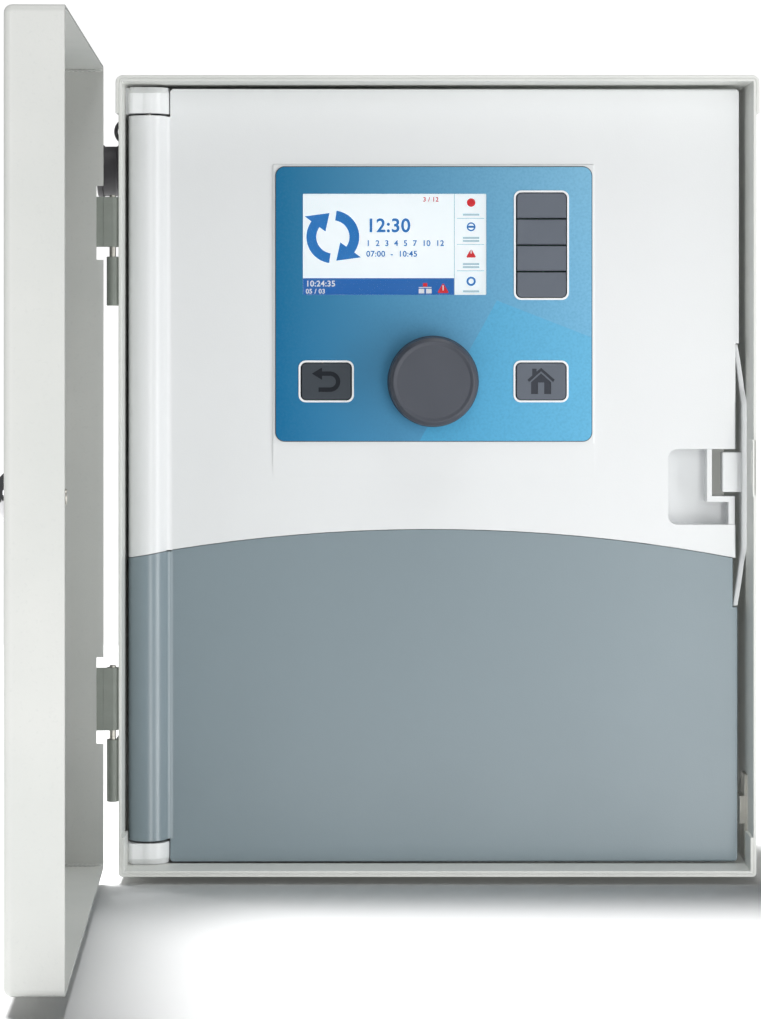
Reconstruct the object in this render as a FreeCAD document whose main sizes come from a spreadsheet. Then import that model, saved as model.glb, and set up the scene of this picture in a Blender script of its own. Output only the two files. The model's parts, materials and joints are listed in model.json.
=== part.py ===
"""Wall-mounted irrigation controller: a sheet-metal cabinet with a hinged outer door and an inner
hinged control panel.

Frame: +X to the right, +Y into the wall, +Z up. The origin is the centre of the cabinet's back face,
which lies on the wall. The outer door is shown open and the inner panel closed.
"""
import FreeCAD, Part
import math
import os
import re

import Sketcher
from FreeCAD import Placement, Rotation, Vector

# Driving dimensions in millimetres (angles in degrees), grouped by assembly.
CABINET = {
    "half_width": 158.5,
    "half_height": 198.5,
    "depth": 139.0,
    "sheet": 1.5,
    "bolt_half_x": 127.0,
    "bolt_half_z": 165.0,
    "bolt_hole_r": 3.5,
    "conduit_y": -62.0,
    "conduit_x": -85.0,
    "conduit_r": 14.2,
    "plug_a_x": -20.0,
    "plug_b_x": 40.0,
    "plug_hole_r": 11.2,
    "plug_r": 11.1,
    "plug_head_r": 14.0,
    "plug_head": 2.5,
    "plug_stem": 6.0,
    "hood_half": 160.0,
    "hood_top": 200.1,
    "hood_foot": 181.0,
    "hood_run": 48.0,
    "hood_round": 1.2,
    "sill_top": -179.0,
    "sill_run": 24.0,
    "clip_low": -193.0,
    "clip_high": -151.0,
    "clip_swell_low": -176.0,
    "clip_swell_high": -162.0,
    "clip_foot": 1.6,
    "clip_swell": 4.0,
    "clip_front": -112.0,
    "clip_back": -98.0,
    "strike_plate": 0.8,
    "strike_half": 14.0,
    "strike_front": -104.0,
    "strike_back": -85.0,
    "lug_x": -135.0,
    "lug_z": -180.0,
    "lug_size": 9.0,
    "lug_depth": 14.0,
    "lug_hole_r": 2.6,
    "keeper_half_tall": 14.0,
    "keeper_leg_in": 156.5,
    "keeper_leg_back": -127.0,
    "keeper_in": 155.6,
    "keeper_out": 156.6,
    "keeper_front": -147.5,
    "keeper_root": -137.0,
    "keeper_slot_half": 9.0,
    "keeper_slot_front": -144.6,
    "keeper_slot_back": -141.2,
}
HINGES = {
    "hinge_x": -161.7,
    "hinge_y": -134.9,
    "knuckle_r": 3.0,
    "leaf_edge": -160.2,
    "leaf_clear": 0.2,
    "leaf_run": 22.0,
    "pin_r": 1.6,
    "pin_clear": 0.06,
    "pin_end_gap": 0.05,
    "pin_cap": 1.0,
    "socket_floor": 3.0,
    "upper_door_top": 139.6,
    "upper_door_foot": 114.7,
    "upper_case_top": 109.9,
    "upper_case_foot": 85.5,
    "lower_door_top": -94.6,
    "lower_door_foot": -125.8,
    "lower_case_top": -130.4,
    "lower_case_foot": -161.4,
    "notch_over": 5.4,
    "notch_under": 6.5,
    "notch_depth": 3.5,
}
DOOR = {
    "door_open": 88.0,
    "door_half": 158.5,
    "door_low": -194.5,
    "door_high": 204.5,
    "door_face": 164.0,
    "door_rim": 139.3,
    "door_round": 2.5,
    "lock_x": 126.5,
    "lock_z": 5.0,
    "lock_hole_r": 9.3,
    "lock_head_r": 9.8,
    "lock_head": 4.5,
    "lock_head_bevel": 1.5,
    "lock_barrel_r": 9.0,
    "lock_back": 144.0,
    "plug_seat_r": 6.0,
    "plug_turn_r": 5.95,
    "plug_sunk": 0.8,
    "keyway_half": 0.9,
    "keyway_half_tall": 4.2,
    "keyway_depth": 8.0,
    "nut_corner_r": 13.2,
    "nut_thick": 4.0,
    "cam_front": 143.8,
    "cam_back": 141.8,
    "cam_half": 8.0,
    "cam_heel": 8.0,
    "cam_reach": 30.2,
    "cam_screw_r": 3.2,
    "cam_screw_head": 1.6,
}
PORT = {
    "port_y": -79.0,
    "port_z": 155.0,
    "port_hole_r": 9.2,
    "port_flange_r": 12.5,
    "port_flange": 2.0,
    "port_neck_r": 9.5,
    "port_neck": 11.5,
    "port_bore_r": 6.5,
    "port_tail_r": 9.0,
    "port_tail": 14.0,
    "port_nut_r": 13.5,
    "port_nut": 4.0,
    "cap_r": 13.5,
    "cap_bore_r": 10.0,
    "cap_start": 2.3,
    "cap_roof": 12.2,
    "cap_end": 15.0,
    "cap_round": 1.2,
    "tether_r": 1.0,
    "tether_loop_r": 6.0,
    "tether_z": 175.5,
}
PANEL = {
    "front": 114.0,
    "skin": 3.0,
    "side_wall": 2.5,
    "cover_back": 102.0,
    "panel_left": -134.5,
    "panel_right": 152.6,
    "panel_half": 195.0,
    "relief_right": 150.9,
    "relief_half": 66.5,
    "lower_right": 151.9,
    "lower_front": 113.2,
    "lower_relief": 149.6,
    "arc_x": -3.3,
    "arc_crest": -27.1,
    "arc_r": 823.0,
    "arc_gap": 0.25,
    "arc_margin": 200.0,
    "arc_start": 134.0,
    "arc_cut": 60.0,
    "cover_overlap": 16.0,
    "barrel_x": -145.65,
    "barrel_y": -112.0,
    "barrel_r": 9.85,
    "barrel_bore_r": 7.85,
    "barrel_high": 181.2,
    "barrel_low": -183.6,
    "web_left": -137.5,
    "web_right": -131.0,
    "pivot_r": 2.0,
    "pivot_clear": 0.06,
    "pivot_in": 8.0,
    "pivot_out": 9.0,
    "block_left": -155.0,
    "block_step": -148.4,
    "block_r": 10.85,
    "block_front": 123.0,
    "block_back": 98.0,
    "block_foot": 112.0,
    "top_block_low": 182.2,
    "top_block_high": 195.5,
    "low_block_low": -195.4,
    "low_block_high": -184.6,
    "pad_left": -82.5,
    "pad_right": 79.3,
    "pad_low": 16.2,
    "pad_high": 156.7,
    "pad_raise": 0.7,
    "frame_back": 99.5,
    "frame_left": -133.0,
    "frame_right": 149.0,
    "frame_half": 191.0,
    "frame_clear": 5.0,
    "rear_left": -96.0,
    "rear_right": 94.0,
    "rear_low": 4.0,
    "rear_high": 171.0,
    "rear_back": 90.0,
    "rear_wall": 2.0,
    "panel_screw_head_r": 3.0,
    "panel_screw_head": 1.8,
    "panel_screw_in": 4.0,
    "panel_screw_drop": 12.0,
    "bay_left": 139.0,
    "bay_half": 68.5,
}
RECESS = {
    "recess_left": 116.8,
    "recess_top": 13.25,
    "recess_low": -24.8,
    "recess_bar": 136.4,
    "recess_bar_out": 139.0,
    "recess_step": -13.5,
    "recess_step_out": -10.5,
    "recess_right": 147.3,
    "recess_right_out": 150.6,
    "recess_rim": 113.0,
    "recess_floor": 100.5,
    "recess_back": 99.0,
    "recess_wall": 1.5,
}
LATCH = {
    "tab_left": 144.0,
    "tab_low": -8.4,
    "tab_high": 11.7,
    "tab_front": 114.6,
    "tab_lap": 0.5,
    "bow_in": 153.4,
    "bow_out": 156.3,
    "bow_half": 41.0,
    "bow_end_half": 66.0,
    "bow_end_in": 149.6,
    "bow_end_out": 152.3,
    "bow_front": 116.5,
    "bow_mid": 109.8,
    "bow_back": 105.0,
    "hook_left": 150.0,
    "hook_half": 6.0,
    "hook_back": 97.0,
    "hook_out": 155.7,
}
CONTROLS = {
    "overlay_left": -81.0,
    "overlay_right": 78.1,
    "overlay_low": 17.4,
    "overlay_high": 155.5,
    "overlay_front": 115.5,
    "overlay_round": 4.0,
    "screen_left": -67.4,
    "screen_right": 25.0,
    "screen_low": 91.05,
    "screen_high": 142.0,
    "lens_front": 114.7,
    "lens_back": 113.2,
    "display_back": 106.4,
    "display_margin": 5.0,
    "board_left": -92.0,
    "board_right": 90.0,
    "board_low": 9.0,
    "board_high": 167.0,
    "board_front": 105.6,
    "board_back": 104.0,
    "soft_left": 39.9,
    "soft_right": 65.7,
    "soft_low": 89.5,
    "soft_high": 142.7,
    "nav_low": 37.9,
    "nav_high": 57.0,
    "back_left": -68.6,
    "back_right": -42.7,
    "home_left": 39.7,
    "home_right": 65.5,
    "key_gap": 0.35,
    "key_front": 116.4,
    "key_round": 0.5,
    "key_flange": 1.0,
    "key_flange_front": 110.8,
    "key_back": 109.8,
    "bezel": 1.0,
    "bezel_front": 115.9,
    "knob_x": -1.8,
    "knob_z": 47.5,
    "knob_r": 23.0,
    "knob_face_r": 19.4,
    "knob_waist_r": 21.6,
    "knob_skirt": 1.6,
    "knob_slope": 1.2,
    "knob_taper": 0.6,
    "knob_hollow_r": 7.6,
    "knob_hollow": 3.0,
    "knob_chamfer": 2.2,
    "knob_height": 17.4,
    "knob_start": 116.1,
    "knob_dish_r": 17.8,
    "knob_dish": 0.5,
    "knob_dish_slope": 1.5,
    "knob_bore": 13.0,
    "shaft_r": 3.0,
    "shaft_clear": 0.06,
    "shaft_tail": 107.4,
    "shaft_end_gap": 0.3,
    "bushing_r": 4.5,
    "bushing_hole_r": 4.7,
    "encoder_half": 7.0,
    "encoder_front": 110.8,
    "encoder_nut_r": 6.6,
    "encoder_nut_thick": 1.8,
    "bushing_front": 117.6,
    "switch_half": 3.0,
    "switch_front": 108.4,
}
ELECTRONICS = {
    "tray_half": 104.0,
    "tray_low": -122.0,
    "tray_high": 158.0,
    "tray_front": 14.0,
    "tray_back": 11.5,
    "post_r": 5.0,
    "post_x": 98.0,
    "post_low": -116.0,
    "post_high": 148.0,
    "tray_screw_head_r": 3.8,
    "tray_screw_head": 2.4,
    "core_left": -98.0,
    "core_right": -34.0,
    "core_low": -108.0,
    "core_high": -54.0,
    "core_front": 46.0,
    "core_back": 20.0,
    "core_limb": 10.5,
    "coil_front": 58.0,
    "coil_back": 15.0,
    "coil_gap": 0.5,
    "strap": 1.2,
    "strap_foot": 9.0,
    "strap_inset": 2.0,
    "strap_band": 8.0,
    "power_left": -22.0,
    "power_right": 98.0,
    "power_low": -112.0,
    "power_high": -50.0,
    "power_front": 25.6,
    "power_back": 24.0,
    "standoff_r": 3.0,
    "standoff_in": 5.0,
    "relay_in": 8.0,
    "relay_pitch": 22.0,
    "relay_width": 16.0,
    "relay_height": 20.0,
    "relay_out": 15.0,
    "relay_drop": 6.0,
    "capacitor_r": 6.0,
    "capacitor_pitch": 20.0,
    "capacitor_in": 16.0,
    "capacitor_out": 22.0,
    "fuse_left": 64.0,
    "fuse_right": 90.0,
    "fuse_low": -70.0,
    "fuse_high": -60.0,
    "fuse_out": 11.0,
    "module_left": -97.0,
    "module_pitch": 49.0,
    "module_width": 46.5,
    "module_low": -30.0,
    "module_high": 72.0,
    "module_front": 48.0,
    "backplane_front": 19.0,
    "backplane_back": 17.4,
    "backplane_high": 150.0,
    "terminal_low": -30.0,
    "terminal_high": -16.0,
    "terminal_front": 60.0,
    "terminal_pitch": 7.5,
    "terminal_screw_r": 2.1,
    "terminal_screw_out": 0.8,
}
DIMENSIONS = {**CABINET, **HINGES, **DOOR, **PORT, **PANEL, **RECESS, **LATCH, **CONTROLS, **ELECTRONICS}

SCREW_SITES = (("-1", "-1"), ("1", "-1"), ("1", "1"), ("-1", "1"))
MODULE_COUNT = 4
RELAY_COUNT = 3
CAPACITOR_COUNT = 4
TERMINALS_PER_MODULE = 6
SOFT_KEY_COUNT = 4

doc = FreeCAD.newDocument("IrrigationController")
sheet = doc.addObject("Spreadsheet::Sheet", "Sizes")
for row, (alias, value) in enumerate(DIMENSIONS.items(), start=1):
    sheet.set(f"A{row}", alias)
    sheet.set(f"B{row}", str(value))
    sheet.setAlias(f"B{row}", alias)
doc.recompute()
parts = []


# ---------------------------------------------------------------- drawing helpers

def cells(formula):
    """Point every alias in a formula at its cell in the sheet."""
    return re.sub(
        r"[a-z][a-z0-9_]*",
        lambda word: f"Sizes.{word.group()}" if word.group() in DIMENSIONS else word.group(),
        formula,
    )


def size(alias):
    """The value of one cell of the sheet."""
    return float(sheet.get(alias))


def finish(obj, label, placement=None):
    """Name an object as a sub-part of the controller."""
    obj.Label = label
    if placement is not None:
        obj.Placement = placement
    parts.append(obj)
    return obj


def box(name, x, y, z):
    """A box between a low and a high formula on each axis."""
    solid = doc.addObject("Part::Box", name)
    for length, axis, (low, high) in (("Length", "x", x), ("Width", "y", y), ("Height", "z", z)):
        solid.setExpression(length, cells(f"({high}) - ({low})"))
        solid.setExpression(f"Placement.Base.{axis}", cells(low))
    return solid


def rod(name, radius, x, y, z, axis="z"):
    """A cylinder along one axis, whose span on that axis is a pair of formulas."""
    solid = doc.addObject("Part::Cylinder", name)
    turns = {
        "x": Rotation(Vector(0, 1, 0), 90),
        "y": Rotation(Vector(1, 0, 0), -90),
        "z": Rotation(),
    }
    solid.Placement = Placement(Vector(), turns[axis])
    solid.setExpression("Radius", cells(radius))
    for name_of_axis, where in (("x", x), ("y", y), ("z", z)):
        low = where[0] if name_of_axis == axis else where
        solid.setExpression(f"Placement.Base.{name_of_axis}", cells(low))
        if name_of_axis == axis:
            solid.setExpression("Height", cells(f"({where[1]}) - ({where[0]})"))
    return solid


def fuse(name, shapes):
    """One solid from several that touch or overlap."""
    joined = doc.addObject("Part::MultiFuse", name)
    joined.Shapes = shapes
    return joined


def cut(name, base, tools):
    """A solid with one or more others taken away."""
    result = doc.addObject("Part::Cut", name)
    result.Base = base
    result.Tool = tools[0] if len(tools) == 1 else fuse(f"{name}_tools", tools)
    return result


def common(name, shapes):
    """The solid that several share."""
    shared = doc.addObject("Part::MultiCommon", name)
    shared.Shapes = shapes
    return shared


def group(name, shapes):
    """Separate solids that share one sub-part."""
    compound = doc.addObject("Part::Compound", name)
    compound.Links = shapes
    return compound


def new_body(name):
    return doc.addObject("PartDesign::Body", name)


def origin_feature(body, role):
    return next(item for item in body.Origin.OriginFeatures if item.Role == role)


def sketch_on(body, name, role, offset="0"):
    """An empty sketch on one of the body's origin planes, moved along its normal."""
    sketch = body.newObject("Sketcher::SketchObject", name)
    sketch.AttachmentSupport = [(origin_feature(body, role), "")]
    sketch.MapMode = "FlatFace"
    sketch.setExpression("AttachmentOffset.Base.z", cells(offset))
    return sketch


def draw_polygon(sketch, points):
    """A closed outline whose corners are each placed from the sketch's origin."""
    count = len(points)
    first = sketch.GeometryCount
    turn = 2 * math.pi / count
    start = [Vector(10 * math.cos(turn * k), 10 * math.sin(turn * k), 0) for k in range(count)]
    for k in range(count):
        sketch.addGeometry(Part.LineSegment(start[k], start[(k + 1) % count]))
    for k in range(count):
        after = first + (k + 1) % count
        sketch.addConstraint(Sketcher.Constraint("Coincident", first + k, 2, after, 1))
    for k, corner in enumerate(points):
        for kind, formula in zip(("DistanceX", "DistanceY"), corner):
            index = sketch.addConstraint(Sketcher.Constraint(kind, -1, 1, first + k, 1, 1.0))
            sketch.setExpression(f"Constraints[{index}]", cells(formula))


def draw_rectangle(sketch, x, y):
    draw_polygon(sketch, [(x[0], y[0]), (x[1], y[0]), (x[1], y[1]), (x[0], y[1])])


def draw_circle(sketch, x, y, radius):
    """A circle placed from the sketch's origin."""
    circle = Part.Circle(Vector(1, 1, 0), Vector(0, 0, 1), 1)
    index = sketch.addGeometry(circle)
    for kind, formula in (("DistanceX", x), ("DistanceY", y)):
        place = sketch.addConstraint(Sketcher.Constraint(kind, -1, 1, index, 3, 1.0))
        sketch.setExpression(f"Constraints[{place}]", cells(formula))
    span = sketch.addConstraint(Sketcher.Constraint("Radius", index, 1.0))
    sketch.setExpression(f"Constraints[{span}]", cells(radius))


def pad(body, sketch, length, reverse=False):
    """Add material from a sketch along its normal, or against it."""
    feature = body.newObject("PartDesign::Pad", f"{sketch.Name}_pad")
    feature.Profile = sketch
    feature.setExpression("Length", cells(length))
    feature.Reversed = reverse
    return feature


def pocket(body, sketch, length, along_normal=False):
    """Take material away against the sketch's normal, or along it, and check that some went."""
    before = body.Tip
    doc.recompute()
    volume = before.Shape.Volume
    feature = body.newObject("PartDesign::Pocket", f"{sketch.Name}_pocket")
    feature.Profile = sketch
    feature.setExpression("Length", cells(length))
    feature.Reversed = along_normal
    doc.recompute()
    if feature.Shape.Volume >= volume:
        raise RuntimeError(f"{feature.Name} cuts nothing")
    return feature


def fillet(body, radius, chosen):
    """Round the edges of the body's tip whose midpoint passes a test."""
    doc.recompute()
    base = body.Tip
    names = [
        f"Edge{index}"
        for index, edge in enumerate(base.Shape.Edges, start=1)
        if chosen(edge.BoundBox.Center, edge)
    ]
    feature = body.newObject("PartDesign::Fillet", f"{body.Name}_round")
    feature.Base = (base, names)
    feature.setExpression("Radius", cells(radius))
    return feature


def turned(name, profile, placement=None):
    """A body turned about its own Z axis from an outline of (radius, height) formulas."""
    body = new_body(name)
    sketch = sketch_on(body, f"{name}_profile", "XZ_Plane")
    draw_polygon(sketch, profile)
    feature = body.newObject("PartDesign::Revolution", f"{name}_turn")
    feature.Profile = sketch
    feature.ReferenceAxis = (origin_feature(body, "Z_Axis"), [""])
    feature.Angle = 360
    if placement is not None:
        body.Placement = placement
    return body


def facing_front(x, z, y=0.0):
    """Lay a turned body's axis along -Y, out of the front."""
    return Placement(Vector(x, y, z), Rotation(Vector(1, 0, 0), 90))


def facing_left(x, y, z):
    """Lay a turned body's axis along -X, out of the left side."""
    return Placement(Vector(x, y, z), Rotation(Vector(0, 1, 0), -90))


# The outer door is drawn closed, then swung about its hinge pins.
door_swing = Placement(
    Vector(), Rotation(Vector(0, 0, 1), -size("door_open")), Vector(size("hinge_x"), size("hinge_y"), 0)
)


# ---------------------------------------------------------------- cabinet

def make_cabinet_shell():
    body = new_body("cabinet_shell")
    outline = sketch_on(body, "case_outline", "XZ_Plane")
    draw_rectangle(outline, ("-half_width", "half_width"), ("-half_height", "half_height"))
    pad(body, outline, "depth")
    hollow = sketch_on(body, "case_hollow", "XZ_Plane", "depth")
    draw_rectangle(hollow, ("sheet - half_width", "half_width - sheet"),
                   ("sheet - half_height", "half_height - sheet"))
    pocket(body, hollow, "depth - sheet")
    bolts = sketch_on(body, "wall_bolts", "XZ_Plane")
    for side, level in SCREW_SITES:
        draw_circle(bolts, f"{side} * bolt_half_x", f"{level} * bolt_half_z", "bolt_hole_r")
    pocket(body, bolts, "sheet + 1", along_normal=True)
    entries = sketch_on(body, "conduit_entries", "XY_Plane", "-half_height")
    draw_circle(entries, "conduit_x", "conduit_y", "conduit_r")
    draw_circle(entries, "plug_a_x", "conduit_y", "plug_hole_r")
    draw_circle(entries, "plug_b_x", "conduit_y", "plug_hole_r")
    pocket(body, entries, "sheet + 1", along_normal=True)
    port = sketch_on(body, "port_hole", "YZ_Plane", "-half_width")
    draw_circle(port, "port_y", "port_z", "port_hole_r")
    pocket(body, port, "sheet + 1", along_normal=True)
    notch = sketch_on(body, "keeper_notch", "YZ_Plane", "half_width")
    draw_rectangle(notch, ("-depth - 1", "keeper_leg_back"),
                   ("lock_z - keeper_half_tall", "lock_z + keeper_half_tall"))
    pocket(body, notch, "sheet + 1")
    finish(body, "cabinet_shell")


def make_drip_hood():
    body = new_body("drip_hood")
    section = sketch_on(body, "hood_section", "XZ_Plane", "depth")
    draw_polygon(section, [
        ("-hood_half", "hood_foot"), ("-half_width", "hood_foot"), ("-half_width", "half_height"),
        ("half_width", "half_height"), ("half_width", "hood_foot"), ("hood_half", "hood_foot"),
        ("hood_half", "hood_top"), ("-hood_half", "hood_top"),
    ])
    pad(body, section, "hood_run", reverse=True)
    fillet(body, "hood_round", lambda at, edge: at.z > size("half_height") + 0.5
           and abs(abs(at.x) - size("hood_half")) < 0.01 and abs(edge.Length - size("hood_run")) < 0.01)
    finish(body, "drip_hood")


def make_front_sill():
    body = new_body("front_sill")
    section = sketch_on(body, "sill_section", "XZ_Plane", "depth")
    draw_polygon(section, [
        ("sheet - half_width", "sheet - half_height"), ("half_width - sheet", "sheet - half_height"),
        ("half_width - sheet", "sill_top"), ("half_width - 2 * sheet", "sill_top"),
        ("half_width - 2 * sheet", "2 * sheet - half_height"),
        ("2 * sheet - half_width", "2 * sheet - half_height"),
        ("2 * sheet - half_width", "sill_top"), ("sheet - half_width", "sill_top"),
    ])
    pad(body, section, "sill_run", reverse=True)
    finish(body, "front_sill")


def make_conduit_plugs():
    plugs = []
    for name in ("plug_a", "plug_b"):
        head = rod(f"{name}_head", "plug_head_r", f"{name}_x", "conduit_y",
                   ("-half_height - plug_head", "-half_height"))
        stem = rod(f"{name}_stem", "plug_r", f"{name}_x", "conduit_y",
                   ("-half_height", "plug_stem - half_height"))
        core = rod(f"{name}_core", "plug_r - sheet", f"{name}_x", "conduit_y",
                   ("-half_height", "plug_stem - half_height"))
        plugs.append(cut(f"{name}_body", fuse(f"{name}_solid", [head, stem]), [core]))
    finish(group("conduit_plugs", plugs), "conduit_plugs")


def make_side_clip():
    """A spring clip on the right wall, beside the inner panel's lower corner."""
    foot = box("clip_foot_plate", ("half_width - sheet - clip_foot", "half_width - sheet"),
               ("clip_front", "clip_back"), ("clip_low", "clip_high"))
    swell = box("clip_swelling", ("half_width - sheet - clip_swell", "half_width - sheet - clip_foot"),
                ("clip_front", "clip_back"), ("clip_swell_low", "clip_swell_high"))
    finish(fuse("side_clip", [foot, swell]), "side_clip")


def make_lock_keeper():
    """A tongue let into the right wall's rim, with the slot that the outer door's cam turns into."""
    span = ("lock_z - keeper_half_tall", "lock_z + keeper_half_tall")
    leg = box("keeper_leg", ("keeper_leg_in", "half_width"), ("-depth", "keeper_leg_back"), span)
    tongue = box("keeper_tongue", ("keeper_in", "keeper_out"), ("keeper_front", "keeper_root"), span)
    slot = box("keeper_slot", ("keeper_in - 1", "keeper_out + 1"), ("keeper_slot_front", "keeper_slot_back"),
               ("lock_z - keeper_slot_half", "lock_z + keeper_slot_half"))
    finish(cut("lock_keeper", fuse("keeper_blank", [leg, tongue]), [slot]), "lock_keeper")


def make_latch_strike():
    strike = box("latch_strike", ("half_width - sheet - strike_plate", "half_width - sheet"),
                 ("strike_front", "strike_back"), ("-strike_half", "strike_half"))
    finish(strike, "latch_strike")


def make_ground_lug():
    block = box("lug_block", ("lug_x - lug_size", "lug_x + lug_size"),
                ("-sheet - lug_depth", "-sheet"), ("lug_z - lug_size / 2", "lug_z + lug_size / 2"))
    holes = [
        rod(f"lug_wire_hole_{side}", "lug_hole_r", f"lug_x {side} lug_size / 2", "-sheet - lug_depth / 2",
            ("lug_z - lug_size", "lug_z + lug_size"))
        for side in ("+", "-")
    ]
    finish(cut("ground_lug", block, holes), "ground_lug")


# ---------------------------------------------------------------- outer door hinges and door

HINGE_LEVELS = ("upper", "lower")


def make_cabinet_hinge_leaves():
    """Leaves welded to the cabinet's side, each with a blind socket for a door pin."""
    leaves = []
    for level in HINGE_LEVELS:
        span = (f"{level}_case_foot", f"{level}_case_top")
        plate = box(f"{level}_case_plate", ("leaf_edge", "-half_width"),
                    ("hinge_y", "hinge_y + leaf_run"), span)
        knuckle = rod(f"{level}_case_knuckle", "knuckle_r", "hinge_x", "hinge_y", span)
        socket = rod(f"{level}_case_socket", "pin_r + pin_clear", "hinge_x", "hinge_y",
                     (f"{level}_case_foot + socket_floor", f"{level}_case_top + 1"))
        leaves.append(cut(f"{level}_case_leaf", fuse(f"{level}_case_blank", [plate, knuckle]), [socket]))
    finish(group("cabinet_hinge_leaves", leaves), "cabinet_hinge_leaves")


def make_door_hinge_leaves():
    """Leaves welded to the door's hinge side, each holding its pin."""
    leaves = []
    for level in HINGE_LEVELS:
        span = (f"{level}_door_foot", f"{level}_door_top")
        plate = box(f"{level}_door_plate", ("leaf_edge", "-door_half"),
                    ("hinge_y - leaf_run", "-door_rim"), span)
        neck = box(f"{level}_door_neck", ("leaf_edge", "-door_half - leaf_clear"),
                   ("-door_rim", "hinge_y"), span)
        knuckle = rod(f"{level}_door_knuckle", "knuckle_r", "hinge_x", "hinge_y", span)
        hole = rod(f"{level}_door_hole", "pin_r", "hinge_x", "hinge_y",
                   (f"{level}_door_foot - 1", f"{level}_door_top + 1"))
        blank = fuse(f"{level}_door_blank", [plate, neck, knuckle])
        leaves.append(cut(f"{level}_door_leaf", blank, [hole]))
    finish(group("door_hinge_leaves", leaves), "door_hinge_leaves", door_swing)


def make_hinge_pins():
    pins = [
        rod(f"{level}_pin", "pin_r", "hinge_x", "hinge_y",
            (f"{level}_case_foot + socket_floor + pin_end_gap", f"{level}_door_top + pin_cap"))
        for level in HINGE_LEVELS
    ]
    finish(group("hinge_pins", pins), "hinge_pins", door_swing)


def make_door_pan():
    body = new_body("door_pan")
    outline = sketch_on(body, "door_outline", "XZ_Plane", "door_rim")
    draw_rectangle(outline, ("-door_half", "door_half"), ("door_low", "door_high"))
    pad(body, outline, "door_face - door_rim")
    fillet(body, "door_round", lambda at, edge: at.y < -size("door_rim") - 1)
    hollow = sketch_on(body, "door_hollow", "XZ_Plane", "door_rim")
    draw_rectangle(hollow, ("sheet - door_half", "door_half - sheet"),
                   ("door_low + sheet", "door_high - sheet"))
    pocket(body, hollow, "door_face - door_rim - sheet", along_normal=True)
    notches = sketch_on(body, "hinge_notches", "YZ_Plane", "-door_half")
    for level in HINGE_LEVELS:
        draw_rectangle(notches, ("-door_rim - notch_depth", "-door_rim + 1"),
                       (f"{level}_door_foot - notch_under", f"{level}_door_top + notch_over"))
    pocket(body, notches, "sheet + 1", along_normal=True)
    lock = sketch_on(body, "lock_hole", "XZ_Plane", "door_face")
    draw_circle(lock, "lock_x", "lock_z", "lock_hole_r")
    pocket(body, lock, "sheet + 1")
    finish(body, "door_pan", door_swing)


def make_lock():
    """A cam lock near the door's free edge, drawn unlocked with its cam hanging down."""
    axis = door_swing.multiply(facing_front(size("lock_x"), size("lock_z")))
    housing = turned("lock_body", [
        ("plug_seat_r", "lock_back"), ("lock_barrel_r", "lock_back"), ("lock_barrel_r", "door_face"),
        ("lock_head_r", "door_face"), ("lock_head_r", "door_face + lock_head - lock_head_bevel"),
        ("lock_head_r - lock_head_bevel", "door_face + lock_head"), ("plug_seat_r", "door_face + lock_head"),
    ])
    finish(housing, "lock_body", axis)

    plug = turned("lock_plug", [
        ("0", "cam_front"), ("plug_turn_r", "cam_front"),
        ("plug_turn_r", "door_face + lock_head - plug_sunk"), ("0", "door_face + lock_head - plug_sunk"),
    ])
    keyway = sketch_on(plug, "keyway", "XY_Plane", "door_face + lock_head - plug_sunk")
    draw_rectangle(keyway, ("-keyway_half", "keyway_half"), ("-keyway_half_tall", "keyway_half_tall"))
    pocket(plug, keyway, "keyway_depth")
    finish(plug, "lock_plug", axis)

    nut = doc.addObject("Part::Prism", "lock_nut_blank")
    nut.Polygon = 6
    nut.setExpression("Circumradius", cells("nut_corner_r"))
    nut.setExpression("Height", cells("nut_thick"))
    nut.setExpression("Placement.Base.z", cells("door_face - sheet - nut_thick"))
    hole = rod("lock_nut_hole", "lock_barrel_r", "0", "0",
               ("door_face - sheet - nut_thick - 1", "door_face - sheet + 1"))
    finish(cut("lock_nut", nut, [hole]), "lock_nut", axis)

    bar = box("cam_bar", ("-cam_half", "cam_half"), ("-cam_reach", "cam_heel"), ("cam_back", "cam_front"))
    sweep = rod("cam_sweep", "cam_reach", "0", "0", ("cam_back", "cam_front"))
    screw_way = rod("cam_screw_way", "cam_screw_r / 2", "0", "0", ("cam_back - 1", "cam_front + 1"))
    finish(cut("lock_cam", common("cam_blank", [bar, sweep]), [screw_way]), "lock_cam", axis)
    head = rod("cam_screw_head", "cam_screw_r", "0", "0", ("cam_back - cam_screw_head", "cam_back"))
    shank = rod("cam_screw_shank", "cam_screw_r / 2", "0", "0", ("cam_back", "cam_front"))
    finish(fuse("cam_screw", [head, shank]), "cam_screw", axis)


# ---------------------------------------------------------------- service port on the left side

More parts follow.
